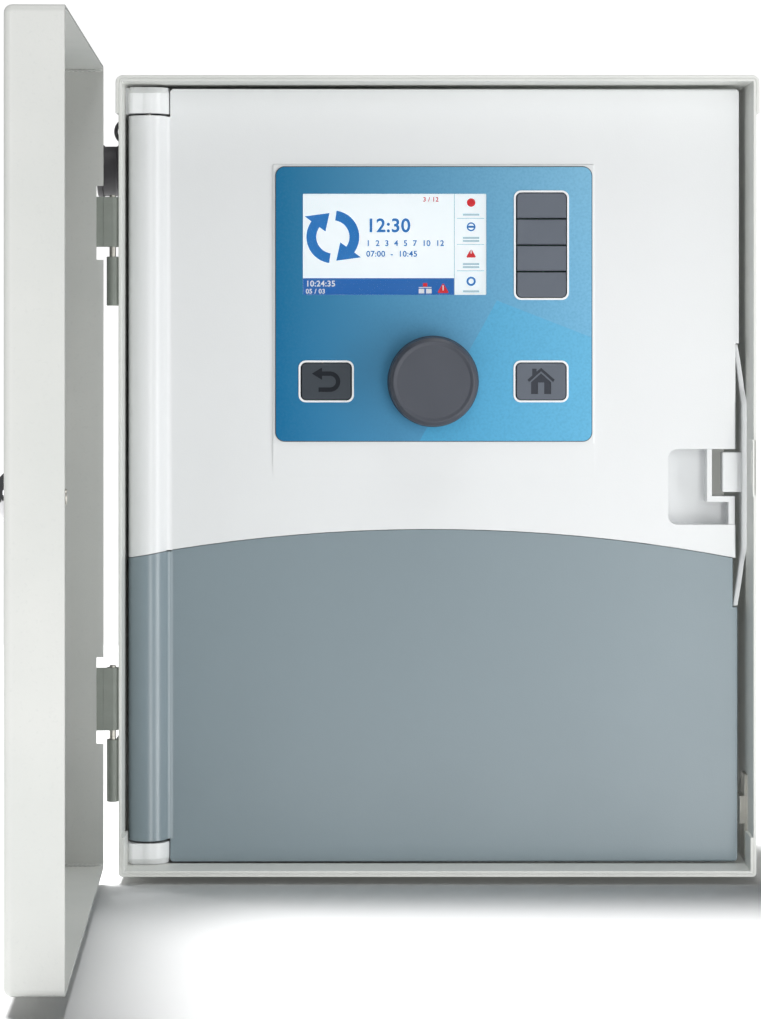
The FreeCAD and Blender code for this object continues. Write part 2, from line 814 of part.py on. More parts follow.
def make_port():
    seat = facing_left(-size("half_width"), size("port_y"), size("port_z"))
    socket = turned("port_body", [
        ("port_bore_r", "0 - port_tail"), ("port_tail_r", "0 - port_tail"), ("port_tail_r", "0"),
        ("port_flange_r", "0"), ("port_flange_r", "port_flange"), ("port_neck_r", "port_flange"),
        ("port_neck_r", "port_neck"), ("port_bore_r", "port_neck"),
    ])
    finish(socket, "port_body", seat)
    nut = turned("port_nut", [
        ("port_tail_r", "0 - sheet - port_nut"), ("port_nut_r", "0 - sheet - port_nut"),
        ("port_nut_r", "0 - sheet"), ("port_tail_r", "0 - sheet"),
    ])
    finish(nut, "port_nut", seat)
    cap = turned("dust_cap", [
        ("cap_bore_r", "cap_start"), ("cap_r", "cap_start"), ("cap_r", "cap_end - cap_round"),
        ("cap_r - cap_round", "cap_end"), ("0", "cap_end"), ("0", "cap_roof"), ("cap_bore_r", "cap_roof"),
    ])
    finish(cap, "dust_cap", seat)
    loop = doc.addObject("Part::Torus", "cap_tether")
    loop.Angle3 = 180
    loop.setExpression("Radius1", cells("tether_loop_r"))
    loop.setExpression("Radius2", cells("tether_r"))
    upright = Rotation(Vector(1, 0, 0), 90).multiply(Rotation(Vector(0, 0, 1), 90))
    stand = Placement(Vector(-size("half_width"), size("port_y"), size("tether_z")), upright)
    finish(loop, "cap_tether", stand)


# ---------------------------------------------------------------- inner panel pivots

def make_pivot_blocks():
    """Corner blocks on the cabinet that carry the inner panel's pivot pins.

    Each is round about the pivot where the panel's edge swings past it.
    """
    for label, low, high in (("pivot_block_top", "top_block_low", "top_block_high"),
                             ("pivot_block_bottom", "low_block_low", "low_block_high")):
        span = (low, high)
        outer = box(f"{label}_outer", ("block_left", "block_step"), ("-block_front", "-block_back"), span)
        inner_x = ("block_step", "barrel_x + block_r")
        round_bar = rod(f"{label}_round", "block_r", "barrel_x", "barrel_y", span)
        inner_half = box(f"{label}_inner", inner_x, ("-block_front", "-block_back"), span)
        nose = common(f"{label}_nose", [round_bar, inner_half])
        heel = box(f"{label}_heel", inner_x, ("barrel_y", "-block_back"), span)
        foot = box(f"{label}_foot", ("sheet - half_width", "block_left"),
                   ("-block_foot", "-block_back"), span)
        hole = rod(f"{label}_hole", "pivot_r", "barrel_x", "barrel_y", (f"{low} - 1", f"{high} + 1"))
        finish(cut(label, fuse(f"{label}_blank", [outer, nose, heel, foot]), [hole]), label)


def make_pivot_pins():
    top = rod("top_pivot_pin", "pivot_r", "barrel_x", "barrel_y",
              ("barrel_high - pivot_in", "top_block_low + pivot_out"))
    low = rod("low_pivot_pin", "pivot_r", "barrel_x", "barrel_y",
              ("low_block_high - pivot_out", "barrel_low + pivot_in"))
    finish(group("panel_pivot_pins", [top, low]), "panel_pivot_pins")


# ---------------------------------------------------------------- inner panel

def open_windows(body, prefix, plane_offset, depth):
    """Windows for the screen, the keys and the knob's shaft."""
    sketch = sketch_on(body, f"{prefix}_windows", "XZ_Plane", plane_offset)
    draw_rectangle(sketch, ("screen_left", "screen_right"), ("screen_low", "screen_high"))
    draw_rectangle(sketch, ("soft_left", "soft_right"), ("soft_low", "soft_high"))
    draw_rectangle(sketch, ("back_left", "back_right"), ("nav_low", "nav_high"))
    draw_rectangle(sketch, ("home_left", "home_right"), ("nav_low", "nav_high"))
    draw_circle(sketch, "knob_x", "knob_z", "bushing_hole_r")
    pocket(body, sketch, depth)


def add_barrel(body, prefix, low, high):
    """The half of the hinge barrel that is moulded on this cover, with the web that joins it."""
    ring = sketch_on(body, f"{prefix}_barrel", "XY_Plane", low)
    draw_circle(ring, "barrel_x", "barrel_y", "barrel_r")
    draw_circle(ring, "barrel_x", "barrel_y", "barrel_bore_r")
    pad(body, ring, f"({high}) - ({low})")


def make_upper_cover():
    body = new_body("upper_cover")
    foot = "arc_crest - cover_overlap"
    outline = sketch_on(body, "upper_outline", "XZ_Plane", "cover_back")
    draw_rectangle(outline, ("panel_left", "panel_right"), (foot, "panel_half"))
    pad(body, outline, "front - cover_back")
    hollow = sketch_on(body, "upper_hollow", "XZ_Plane", "cover_back")
    draw_rectangle(hollow, ("panel_left + side_wall", "panel_right - side_wall"),
                   (f"{foot} - 1", "panel_half - side_wall"))
    pocket(body, hollow, "front - cover_back - skin", along_normal=True)
    web = sketch_on(body, "upper_web", "XZ_Plane", "front - skin")
    draw_rectangle(web, ("web_left", "web_right"), (foot, "barrel_high"))
    pad(body, web, "skin", reverse=True)
    add_barrel(body, "upper", foot, "barrel_high")
    raised = sketch_on(body, "overlay_pad", "XZ_Plane", "front")
    draw_rectangle(raised, ("pad_left", "pad_right"), ("pad_low", "pad_high"))
    pad(body, raised, "pad_raise")
    arch = sketch_on(body, "upper_arch", "XZ_Plane", "arc_start")
    draw_circle(arch, "arc_x", "arc_crest - arc_r", "arc_r")
    pocket(body, arch, "arc_cut")
    relief = sketch_on(body, "edge_relief", "XZ_Plane", "front")
    draw_rectangle(relief, ("relief_right", "panel_right + 1"), ("-relief_half", "relief_half"))
    pocket(body, relief, "skin")
    bay = sketch_on(body, "latch_bay", "XZ_Plane", "front - skin")
    draw_rectangle(bay, ("bay_left", "panel_right + 1"), ("-bay_half", "bay_half"))
    pocket(body, bay, "front - skin - cover_back")
    window = sketch_on(body, "recess_window", "XZ_Plane", "front")
    draw_rectangle(window, ("recess_left", "panel_right + 1"), ("recess_low", "recess_top"))
    pocket(body, window, "skin")
    scoop = sketch_on(body, "recess_scoop", "XZ_Plane", "recess_back")
    draw_polygon(scoop, [
        ("recess_left - recess_wall", "recess_top + recess_wall"),
        ("recess_bar_out", "recess_top + recess_wall"),
        ("recess_bar_out", "recess_step_out"), ("recess_right_out", "recess_step_out"),
        ("recess_right_out", "recess_low - recess_wall"),
        ("recess_left - recess_wall", "recess_low - recess_wall"),
    ])
    pad(body, scoop, "recess_rim - recess_back")
    hold = sketch_on(body, "recess_cavity", "XZ_Plane", "front")
    draw_polygon(hold, [
        ("recess_left", "recess_top"), ("recess_bar", "recess_top"), ("recess_bar", "recess_step"),
        ("recess_right", "recess_step"), ("recess_right", "recess_low"), ("recess_left", "recess_low"),
    ])
    pocket(body, hold, "front - recess_floor")
    open_windows(body, "cover", "front + 2", "2 + skin")
    finish(body, "upper_cover")


def make_lower_cover():
    body = new_body("lower_cover")
    outline = sketch_on(body, "lower_outline", "XZ_Plane", "cover_back")
    draw_rectangle(outline, ("panel_left", "lower_right"), ("-panel_half", "arc_crest + 1"))
    pad(body, outline, "lower_front - cover_back")
    hollow = sketch_on(body, "lower_hollow", "XZ_Plane", "cover_back")
    draw_rectangle(hollow, ("panel_left + side_wall", "lower_right - side_wall"),
                   ("side_wall - panel_half", "arc_crest + 2"))
    pocket(body, hollow, "lower_front - cover_back - skin", along_normal=True)
    web = sketch_on(body, "lower_web", "XZ_Plane", "lower_front - skin")
    draw_rectangle(web, ("web_left", "web_right"), ("barrel_low", "arc_crest"))
    pad(body, web, "skin", reverse=True)
    add_barrel(body, "lower", "barrel_low", "arc_crest")
    arch = sketch_on(body, "lower_arch", "XZ_Plane", "arc_start")
    draw_circle(arch, "arc_x", "arc_crest - arc_r", "arc_r - arc_gap")
    draw_circle(arch, "arc_x", "arc_crest - arc_r", "arc_r + arc_margin")
    pocket(body, arch, "arc_cut")
    relief = sketch_on(body, "lower_relief_cut", "XZ_Plane", "front")
    draw_rectangle(relief, ("lower_relief", "lower_right + 1"), ("-relief_half", "arc_crest + 5"))
    pocket(body, relief, "skin + 1")
    bay = sketch_on(body, "lower_bay", "XZ_Plane", "lower_front - skin")
    draw_rectangle(bay, ("bay_left", "lower_right + 1"), ("-bay_half", "arc_crest + 5"))
    pocket(body, bay, "lower_front - skin - cover_back")
    finish(body, "lower_cover")


def make_barrel_core():
    core = rod("core_rod", "barrel_bore_r", "barrel_x", "barrel_y", ("barrel_low", "barrel_high"))
    holes = [
        rod("core_top_hole", "pivot_r + pivot_clear", "barrel_x", "barrel_y",
            ("barrel_high - pivot_in - 1", "barrel_high + 1")),
        rod("core_low_hole", "pivot_r + pivot_clear", "barrel_x", "barrel_y",
            ("barrel_low - 1", "barrel_low + pivot_in + 1")),
    ]
    finish(cut("barrel_core", core, holes), "barrel_core")


def make_panel_frame():
    """The plate behind both covers, open behind the finger recess and the latch."""
    plate = box("frame_plate", ("frame_left", "frame_right"), ("-cover_back", "-frame_back"),
                ("-frame_half", "frame_half"))
    opening = box("frame_opening", ("recess_left - frame_clear", "frame_right + 1"),
                  ("-cover_back - 1", "-frame_back + 1"), ("-bay_half", "recess_top + frame_clear"))
    finish(cut("panel_frame", plate, [opening]), "panel_frame")


def make_rear_cover():
    """A shallow tray over the back of the panel's circuit board."""
    shell = box("rear_block", ("rear_left", "rear_right"), ("-frame_back", "-rear_back"),
                ("rear_low", "rear_high"))
    hollow = box("rear_hollow", ("rear_left + rear_wall", "rear_right - rear_wall"),
                 ("-frame_back - 1", "-rear_back - rear_wall"),
                 ("rear_low + rear_wall", "rear_high - rear_wall"))
    finish(cut("rear_cover", shell, [hollow]), "rear_cover")


def make_panel_screws():
    """Screws through the frame's corners into the covers' rims, heads at the back."""
    screws = []
    for side, edge in (("left", "frame_left + panel_screw_in"), ("right", "frame_right - panel_screw_in")):
        for level in ("1", "-1"):
            name = f"panel_screw_{side}_{level.replace('-', 'low')}"
            height = f"{level} * (frame_half - panel_screw_drop)"
            head = rod(f"{name}_head", "panel_screw_head_r", edge,
                       ("-frame_back", "-frame_back + panel_screw_head"), height, axis="y")
            screws.append(head)
    finish(group("panel_screws", screws), "panel_screws")


def make_overlay():
    body = new_body("control_overlay")
    outline = sketch_on(body, "overlay_outline", "XZ_Plane", "front + pad_raise")
    draw_rectangle(outline, ("overlay_left", "overlay_right"), ("overlay_low", "overlay_high"))
    pad(body, outline, "overlay_front - front - pad_raise")
    fillet(body, "overlay_round", lambda at, edge: edge.Length < 2)
    open_windows(body, "overlay", "overlay_front", "2")
    finish(body, "control_overlay")


def make_key_bezels():
    """Thin frames around the key windows."""
    frames = []
    for name, x, z in (("soft", ("soft_left", "soft_right"), ("soft_low", "soft_high")),
                       ("back", ("back_left", "back_right"), ("nav_low", "nav_high")),
                       ("home", ("home_left", "home_right"), ("nav_low", "nav_high"))):
        outer = box(f"{name}_bezel_outer", (f"{x[0]} - bezel", f"{x[1]} + bezel"),
                    ("-bezel_front", "-overlay_front"), (f"{z[0]} - bezel", f"{z[1]} + bezel"))
        inner = box(f"{name}_bezel_inner", x, ("-bezel_front - 1", "-overlay_front + 1"), z)
        frames.append(cut(f"{name}_bezel", outer, [inner]))
    finish(group("key_bezels", frames), "key_bezels")


def make_display():
    lens = box("display_lens", ("screen_left", "screen_right"), ("-lens_front", "-lens_back"),
               ("screen_low", "screen_high"))
    finish(lens, "display_lens")
    module = box("display_case", ("screen_left - display_margin", "screen_right + display_margin"),
                 ("skin - front", "-display_back"),
                 ("screen_low - display_margin", "screen_high + display_margin"))
    glass = box("display_glass", ("screen_left", "screen_right"), ("-lens_back", "skin - front"),
                ("screen_low", "screen_high"))
    finish(fuse("display_panel", [module, glass]), "display_panel")


def make_main_board():
    board = box("main_board_sheet", ("board_left", "board_right"), ("-board_front", "-board_back"),
                ("board_low", "board_high"))
    finish(board, "main_board")


KEY_SPOTS = (
    ("back_key", "back_left", "back_right", "nav_low", "nav_high"),
    ("home_key", "home_left", "home_right", "nav_low", "nav_high"),
)


def soft_key_span(index):
    """Lower and upper formulas of one soft key, counted from the top of its window."""
    pitch = f"(soft_high - soft_low) / {SOFT_KEY_COUNT}"
    top = f"soft_high - {index} * {pitch}"
    return f"{top} - {pitch}", top


def make_key(label, left, right, low, high):
    """A key cap that stands through its window, with side flanges that stop it falling out."""
    body = new_body(label)
    cap = sketch_on(body, f"{label}_cap", "XZ_Plane", "key_back")
    draw_rectangle(cap, (f"{left} + key_gap", f"{right} - key_gap"),
                   (f"{low} + key_gap", f"{high} - key_gap"))
    pad(body, cap, "key_front - key_back")
    fillet(body, "key_round", lambda at, edge: abs(at.y + size("key_front")) < 0.01)
    flange = sketch_on(body, f"{label}_flange", "XZ_Plane", "key_back")
    draw_rectangle(flange, (f"{left} - key_flange", f"{right} + key_flange"),
                   (f"{low} + key_gap", f"{high} - key_gap"))
    pad(body, flange, "key_flange_front - key_back")
    finish(body, label)


def make_keys():
    for spot in KEY_SPOTS:
        make_key(*spot)
    for index in range(SOFT_KEY_COUNT):
        make_key(f"soft_key_{index + 1}", "soft_left", "soft_right", *soft_key_span(index))


def make_key_switches():
    """One tactile switch on the board behind each key."""
    spots = [spot[1:] for spot in KEY_SPOTS]
    spots += [("soft_left", "soft_right", *soft_key_span(index)) for index in range(SOFT_KEY_COUNT)]
    switches = []
    for number, (left, right, low, high) in enumerate(spots, start=1):
        x, z = f"({left} + {right}) / 2", f"({low} + {high}) / 2"
        switches.append(box(f"switch_{number}", (f"{x} - switch_half", f"{x} + switch_half"),
                            ("-switch_front", "-board_front"), (f"{z} - switch_half", f"{z} + switch_half")))
    finish(group("key_switches", switches), "key_switches")


def make_encoder():
    case = box("encoder_case", ("knob_x - encoder_half", "knob_x + encoder_half"),
               ("-encoder_front", "-board_front"), ("knob_z - encoder_half", "knob_z + encoder_half"))
    bushing = rod("encoder_bushing", "bushing_r", "knob_x",
                  ("-bushing_front", "-encoder_front"), "knob_z", axis="y")
    way = rod("encoder_way", "shaft_r + shaft_clear", "knob_x",
              ("-bushing_front - 1", "shaft_end_gap - shaft_tail"), "knob_z", axis="y")
    finish(cut("encoder_body", fuse("encoder_blank", [case, bushing]), [way]), "encoder_body")
    outer = "overlay_front + encoder_nut_thick"
    nut = turned("encoder_nut", [
        ("bushing_r", "overlay_front"), ("encoder_nut_r", "overlay_front"),
        ("encoder_nut_r", outer), ("bushing_r", outer),
    ])
    finish(nut, "encoder_nut", facing_front(size("knob_x"), size("knob_z")))


def make_knob():
    top = "knob_start + knob_height"
    knob = turned("knob", [
        ("knob_hollow_r", "knob_start"), ("knob_r", "knob_start"), ("knob_r", "knob_start + knob_skirt"),
        ("knob_waist_r", "knob_start + knob_skirt + knob_slope"),
        ("knob_waist_r - knob_taper", f"{top} - knob_chamfer"),
        ("knob_face_r", top), ("knob_dish_r", top), ("knob_dish_r - knob_dish_slope", f"{top} - knob_dish"),
        ("0", f"{top} - knob_dish"), ("0", "knob_start + knob_bore"), ("shaft_r", "knob_start + knob_bore"),
        ("shaft_r", "knob_start + knob_hollow"), ("knob_hollow_r", "knob_start + knob_hollow"),
    ])
    axis = facing_front(size("knob_x"), size("knob_z"))
    finish(knob, "knob", axis)
    shaft = rod("knob_shaft", "shaft_r", "knob_x",
                ("-knob_start - knob_bore", "-shaft_tail"), "knob_z", axis="y")
    finish(shaft, "knob_shaft")


def make_latch():
    """Spring bow, finger tab and rear hook in one moulding, on the panel's free edge."""
    body = new_body("latch")
    bow = sketch_on(body, "latch_bow", "XZ_Plane", "bow_back")
    draw_polygon(bow, [
        ("bow_end_in", "-bow_end_half"), ("bow_end_out", "-bow_end_half"), ("bow_out", "-bow_half"),
        ("bow_out", "bow_half"), ("bow_end_out", "bow_end_half"), ("bow_end_in", "bow_end_half"),
        ("bow_in", "bow_half"), ("bow_in", "-bow_half"),
    ])
    pad(body, bow, "bow_mid - bow_back")
    rise = sketch_on(body, "latch_front", "XZ_Plane", "bow_mid")
    draw_rectangle(rise, ("bow_in", "bow_out"), ("-bow_half", "bow_half"))
    pad(body, rise, "bow_front - bow_mid")
    tab = sketch_on(body, "latch_tab", "XZ_Plane", "bow_back")
    draw_rectangle(tab, ("tab_left", "bow_in + tab_lap"), ("tab_low", "tab_high"))
    pad(body, tab, "tab_front - bow_back")
    hook = sketch_on(body, "latch_hook", "XZ_Plane", "hook_back")
    draw_rectangle(hook, ("hook_left", "hook_out"), ("-hook_half", "hook_half"))
    pad(body, hook, "bow_back - hook_back")
    finish(body, "latch")


# ---------------------------------------------------------------- electronics in the cabinet

def make_module_tray():
    plate = box("tray_plate", ("-tray_half", "tray_half"), ("-tray_front", "-tray_back"),
                ("tray_low", "tray_high"))
    posts, screws = [], []
    for side, sign in (("left", "-1"), ("right", "1")):
        for end in ("low", "high"):
            x, z = f"{sign} * post_x", f"post_{end}"
            posts.append(rod(f"tray_post_{side}_{end}", "post_r", x, ("-tray_back", "-sheet"), z, axis="y"))
            screws.append(rod(f"tray_screw_{side}_{end}", "tray_screw_head_r", x,
                              ("-tray_front - tray_screw_head", "-tray_front"), z, axis="y"))
    finish(fuse("module_tray", [plate, *posts]), "module_tray")
    finish(group("tray_screws", screws), "tray_screws")


def make_transformer():
    middle = "(core_left + core_right) / 2"
    core = box("core_stack", ("core_left", "core_right"), ("-core_front", "-core_back"),
               ("core_low", "core_high"))
    gap_z = ("core_low + core_limb", "core_high - core_limb")
    through = ("-core_front - 1", "-core_back + 1")
    windows = [
        box("core_window_left", ("core_left + core_limb", f"{middle} - core_limb"), through, gap_z),
        box("core_window_right", (f"{middle} + core_limb", "core_right - core_limb"), through, gap_z),
    ]
    finish(cut("transformer_core", core, windows), "transformer_core")
    winding = box("coil_block", ("core_left + core_limb + coil_gap", "core_right - core_limb - coil_gap"),
                  ("-coil_front", "-coil_back"),
                  ("core_low + core_limb + coil_gap", "core_high - core_limb - coil_gap"))
    limb = box("coil_way", (f"{middle} - core_limb", f"{middle} + core_limb"),
               ("-core_front", "-core_back"), ("core_low", "core_high"))
    finish(cut("transformer_coil", winding, [limb]), "transformer_coil")
    span = ("core_low + strap_inset", "core_high - strap_inset")
    pieces = []
    for side, foot, wall in (
        ("left", ("core_left - strap_foot", "core_left"), ("core_left - strap", "core_left")),
        ("right", ("core_right", "core_right + strap_foot"), ("core_right", "core_right + strap")),
    ):
        pieces.append(box(f"strap_foot_{side}", foot, ("-tray_front - strap", "-tray_front"), span))
        pieces.append(box(f"strap_wall_{side}", wall, ("-core_front - strap", "-tray_front"), span))
    bands = (("low", (span[0], f"{span[0]} + strap_band")), ("high", (f"{span[1]} - strap_band", span[1])))
    for end, z in bands:
        pieces.append(box(f"strap_band_{end}", ("core_left - strap", "core_right + strap"),
                          ("-core_front - strap", "-core_front"), z))
    finish(fuse("transformer_strap", pieces), "transformer_strap")


def make_power_board():
    board = box("power_sheet", ("power_left", "power_right"), ("-power_front", "-power_back"),
                ("power_low", "power_high"))
    finish(board, "power_board")
    relays = [
        box(f"relay_{index}",
            (f"power_left + relay_in + {index} * relay_pitch",
             f"power_left + relay_in + {index} * relay_pitch + relay_width"),
            ("-power_front - relay_out", "-power_front"),
            ("power_high - relay_drop - relay_height", "power_high - relay_drop"))
        for index in range(RELAY_COUNT)
    ]
    capacitors = [
        rod(f"capacitor_{index}", "capacitor_r", f"power_left + capacitor_in + {index} * capacitor_pitch",
            ("-power_front - capacitor_out", "-power_front"), "power_low + capacitor_in", axis="y")
        for index in range(CAPACITOR_COUNT)
    ]
    holder = box("fuse_holder", ("fuse_left", "fuse_right"), ("-power_front - fuse_out", "-power_front"),
                 ("fuse_low", "fuse_high"))
    finish(group("power_components", [*relays, *capacitors, holder]), "power_components")
    standoffs = [
        rod(f"standoff_{side}_{level}", "standoff_r", x, ("-power_back", "-tray_front"), z, axis="y")
        for side, x in (("left", "power_left + standoff_in"), ("right", "power_right - standoff_in"))
        for level, z in (("low", "power_low + standoff_in"), ("high", "power_high - standoff_in"))
    ]
    finish(group("board_standoffs", standoffs), "board_standoffs")


def make_output_stage():
    """Backplane, output modules, their terminal strips and the strips' screws."""
    backplane = box("backplane_sheet", ("module_left", "-module_left"),
                    ("-backplane_front", "-backplane_back"), ("module_low", "backplane_high"))
    finish(backplane, "backplane_board")
    modules, strips, screws = [], [], []
    for index in range(MODULE_COUNT):
        left = f"module_left + {index} * module_pitch"
        span = (left, f"{left} + module_width")
        modules.append(box(f"module_{index + 1}", span, ("-module_front", "-backplane_front"),
                           ("module_low", "module_high")))
        strips.append(box(f"strip_{index + 1}", span, ("-terminal_front", "-module_front"),
                          ("terminal_low", "terminal_high")))
        for slot in range(TERMINALS_PER_MODULE):
            x = f"{left} + module_width / 2 + ({slot} - {(TERMINALS_PER_MODULE - 1) / 2}) * terminal_pitch"
            screws.append(rod(f"screw_{index + 1}_{slot + 1}", "terminal_screw_r", x,
                              ("-terminal_front - terminal_screw_out", "-terminal_front"),
                              "(terminal_low + terminal_high) / 2", axis="y"))
    finish(group("output_modules", modules), "output_modules")
    finish(group("terminal_strips", strips), "terminal_strips")
    finish(group("terminal_screws", screws), "terminal_screws")


# ---------------------------------------------------------------- build, check and write

def make_all():
    make_cabinet_shell()
    make_drip_hood()
    make_front_sill()
    make_conduit_plugs()
    make_side_clip()
    make_lock_keeper()
    make_latch_strike()
    make_ground_lug()
    make_cabinet_hinge_leaves()
    make_door_hinge_leaves()
    make_hinge_pins()
    make_door_pan()
    make_lock()
    make_port()
    make_pivot_blocks()
    make_pivot_pins()
    make_upper_cover()
    make_lower_cover()
    make_barrel_core()
    make_panel_frame()
    make_rear_cover()
    make_panel_screws()
    make_overlay()
    make_key_bezels()
    make_display()
    make_main_board()
    make_keys()
    make_key_switches()
    make_encoder()
    make_knob()
    make_latch()
    make_module_tray()
    make_transformer()
    make_power_board()
    make_output_stage()


def check_document():
    """Stop if any object failed or any sub-part has no valid shape."""
    for obj in doc.Objects:
        if "Invalid" in obj.State or "Error" in obj.State:
            raise RuntimeError(f"{obj.Name} failed: {obj.State}")
    for part in parts:
        if part.Shape.isNull() or not part.Shape.isValid() or not part.Shape.Solids:
            raise RuntimeError(f"{part.Label} has no valid solid")


def write_parts():
    os.makedirs("parts", exist_ok=True)
    for part in parts:
        part.Shape.exportStep(f"parts/{part.Label}.step")
        box_of = part.Shape.BoundBox
        print(f"{part.Label}: {len(part.Shape.Solids)} solid(s), {part.Shape.Volume:.0f} mm3, "
              f"x {box_of.XMin:.1f}..{box_of.XMax:.1f}, y {box_of.YMin:.1f}..{box_of.YMax:.1f}, "
              f"z {box_of.ZMin:.1f}..{box_of.ZMax:.1f}")


make_all()
doc.recompute()
check_document()
write_parts()
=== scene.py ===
"""Looks of a wall-mounted irrigation controller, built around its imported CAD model.

Every piece is in metres in the model's own frame: +X right, +Y into the wall, +Z up.
"""

import json
import math

import bmesh
import bpy
from mathutils import Matrix, Vector

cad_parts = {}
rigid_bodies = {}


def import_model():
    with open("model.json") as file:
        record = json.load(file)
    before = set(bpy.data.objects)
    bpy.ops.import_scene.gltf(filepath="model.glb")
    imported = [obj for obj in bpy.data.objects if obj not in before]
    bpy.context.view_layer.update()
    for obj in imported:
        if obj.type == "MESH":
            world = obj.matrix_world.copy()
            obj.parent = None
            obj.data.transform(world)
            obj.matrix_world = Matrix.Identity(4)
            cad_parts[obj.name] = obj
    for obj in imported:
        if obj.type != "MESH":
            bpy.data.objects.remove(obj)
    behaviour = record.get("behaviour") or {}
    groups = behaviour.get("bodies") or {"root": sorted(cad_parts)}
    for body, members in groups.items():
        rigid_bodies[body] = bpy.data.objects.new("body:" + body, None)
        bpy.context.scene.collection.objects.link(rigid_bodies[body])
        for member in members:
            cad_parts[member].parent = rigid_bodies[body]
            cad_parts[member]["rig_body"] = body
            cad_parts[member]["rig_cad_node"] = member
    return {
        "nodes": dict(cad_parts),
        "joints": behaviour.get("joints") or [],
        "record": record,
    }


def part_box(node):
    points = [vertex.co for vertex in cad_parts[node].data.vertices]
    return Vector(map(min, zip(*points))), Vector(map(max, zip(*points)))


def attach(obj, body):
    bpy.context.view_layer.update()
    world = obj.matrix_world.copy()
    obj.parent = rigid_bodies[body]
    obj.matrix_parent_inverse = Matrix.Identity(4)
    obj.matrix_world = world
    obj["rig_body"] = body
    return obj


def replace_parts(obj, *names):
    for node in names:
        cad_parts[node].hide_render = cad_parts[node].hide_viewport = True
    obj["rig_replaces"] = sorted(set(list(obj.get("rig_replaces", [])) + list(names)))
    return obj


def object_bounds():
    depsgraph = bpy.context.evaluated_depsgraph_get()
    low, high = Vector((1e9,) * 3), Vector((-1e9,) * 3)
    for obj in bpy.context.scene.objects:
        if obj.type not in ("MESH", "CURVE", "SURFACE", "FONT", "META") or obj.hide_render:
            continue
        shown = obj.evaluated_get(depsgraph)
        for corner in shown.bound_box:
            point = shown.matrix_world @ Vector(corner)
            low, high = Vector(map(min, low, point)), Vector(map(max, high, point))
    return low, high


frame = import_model()
cad_low, cad_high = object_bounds()
SLOT_OF = {part["node"]: part["material_slot"] for part in frame["record"]["subparts"]}
JOINTS = {joint["name"]: joint for joint in frame["joints"]}
MM = 0.001


def mm(*sizes):
    """Sizes in millimetres as a list in metres."""
    return [size * MM for size in sizes]


def linear(channel):
    """A display value, 0 to 255, as linear light."""
    share = channel / 255
    return ((share + 0.055) / 1.055) ** 2.4 if channel > 10 else share / 12.92


def tone(red, green, blue):
    return linear(red), linear(green), linear(blue)


# ---------------------------------------------------------------- materials

class Look:
    """A Principled material with short ways to add and join nodes."""

    def __init__(self, name, **constants):
        self.name = name
        self.material = bpy.data.materials.new(name)
        self.material.use_nodes = True
        self.tree = self.material.node_tree
        self.shader = self.tree.nodes["Principled BSDF"]
        for socket, value in constants.items():
            self.shader.inputs[socket.replace("_", " ")].default_value = value
        self.place = self.add("ShaderNodeTexCoord").outputs["Object"]

    def add(self, kind, settings=None, **inputs):
        node = self.tree.nodes.new(kind)
        for name, value in (settings or {}).items():
            setattr(node, name, value)
        for name, value in inputs.items():
            self.feed(node.inputs[name.replace("_", " ")], value)
        return node

    def feed(self, socket, value):
        if isinstance(value, bpy.types.NodeSocket):
            self.tree.links.new(value, socket)
        else:
            socket.default_value = value

    def noise(self, size, detail=3.0, place=None):
        """Soft noise whose blotches are about this many metres across."""
        where = place or self.place
        return self.add("ShaderNodeTexNoise", Vector=where, Scale=1 / size, Detail=detail).outputs["Fac"]

    def cells(self, size, place=None):
        where = place or self.place
        return self.add("ShaderNodeTexVoronoi", Vector=where, Scale=1 / size).outputs["Distance"]

    def span(self, value, low, high, start=0.0, end=1.0):
        """Carry a value from one range to another, held at its ends."""
        ranges = {"From_Min": start, "From_Max": end, "To_Min": low, "To_Max": high}
        return self.add("ShaderNodeMapRange", Value=value, **ranges).outputs[0]

    def math(self, kind, first, second=0.0):
        node = self.add("ShaderNodeMath", {"operation": kind})
        self.feed(node.inputs[0], first)
        self.feed(node.inputs[1], second)
        return node.outputs[0]

    def mix(self, share, first, second):
        node = self.add("ShaderNodeMix", {"data_type": "RGBA"})
        for index, value in ((0, share), (6, first), (7, second)):
            self.feed(node.inputs[index], (*value, 1.0) if isinstance(value, tuple) else value)
        return node.outputs[2]

    def axes(self):
        return self.add("ShaderNodeSeparateXYZ", Vector=self.place).outputs

    def colour(self, value):
        self.feed(self.shader.inputs["Base Color"], value)

    def glow(self, value):
        self.feed(self.shader.inputs["Emission Color"], value)

    def rough(self, value, low, high):
        self.feed(self.shader.inputs["Roughness"], self.span(value, low, high))

    def bump(self, height, depth, under=None):
        node = self.add("ShaderNodeBump", Height=height, Distance=depth, Strength=1.0)
        if under is not None:
            self.feed(node.inputs["Normal"], under)
        self.feed(self.shader.inputs["Normal"], node.outputs[0])
        return node.outputs[0]


def moulded(name, base, shade, rough, grain=0.0007, depth=0.00002, blotch=0.045, **constants):
    """Moulded plastic, rubber or paint: faint blotches of shade, a fine grain and uneven gloss."""
    look = Look(name, **constants)
    base, shade = tone(*base), tone(*shade)
    patches = look.noise(blotch, 4.0)
    fine = look.noise(grain, 2.0)
    tint = look.mix(patches, base, shade)
    look.colour(look.mix(look.span(fine, 0.0, 0.16, 0.45, 0.8), tint, shade))
    look.rough(patches, *rough)
    look.bump(look.cells(grain), depth, under=look.bump(look.noise(grain * 7, 2.0), depth * 0.6))
    return look


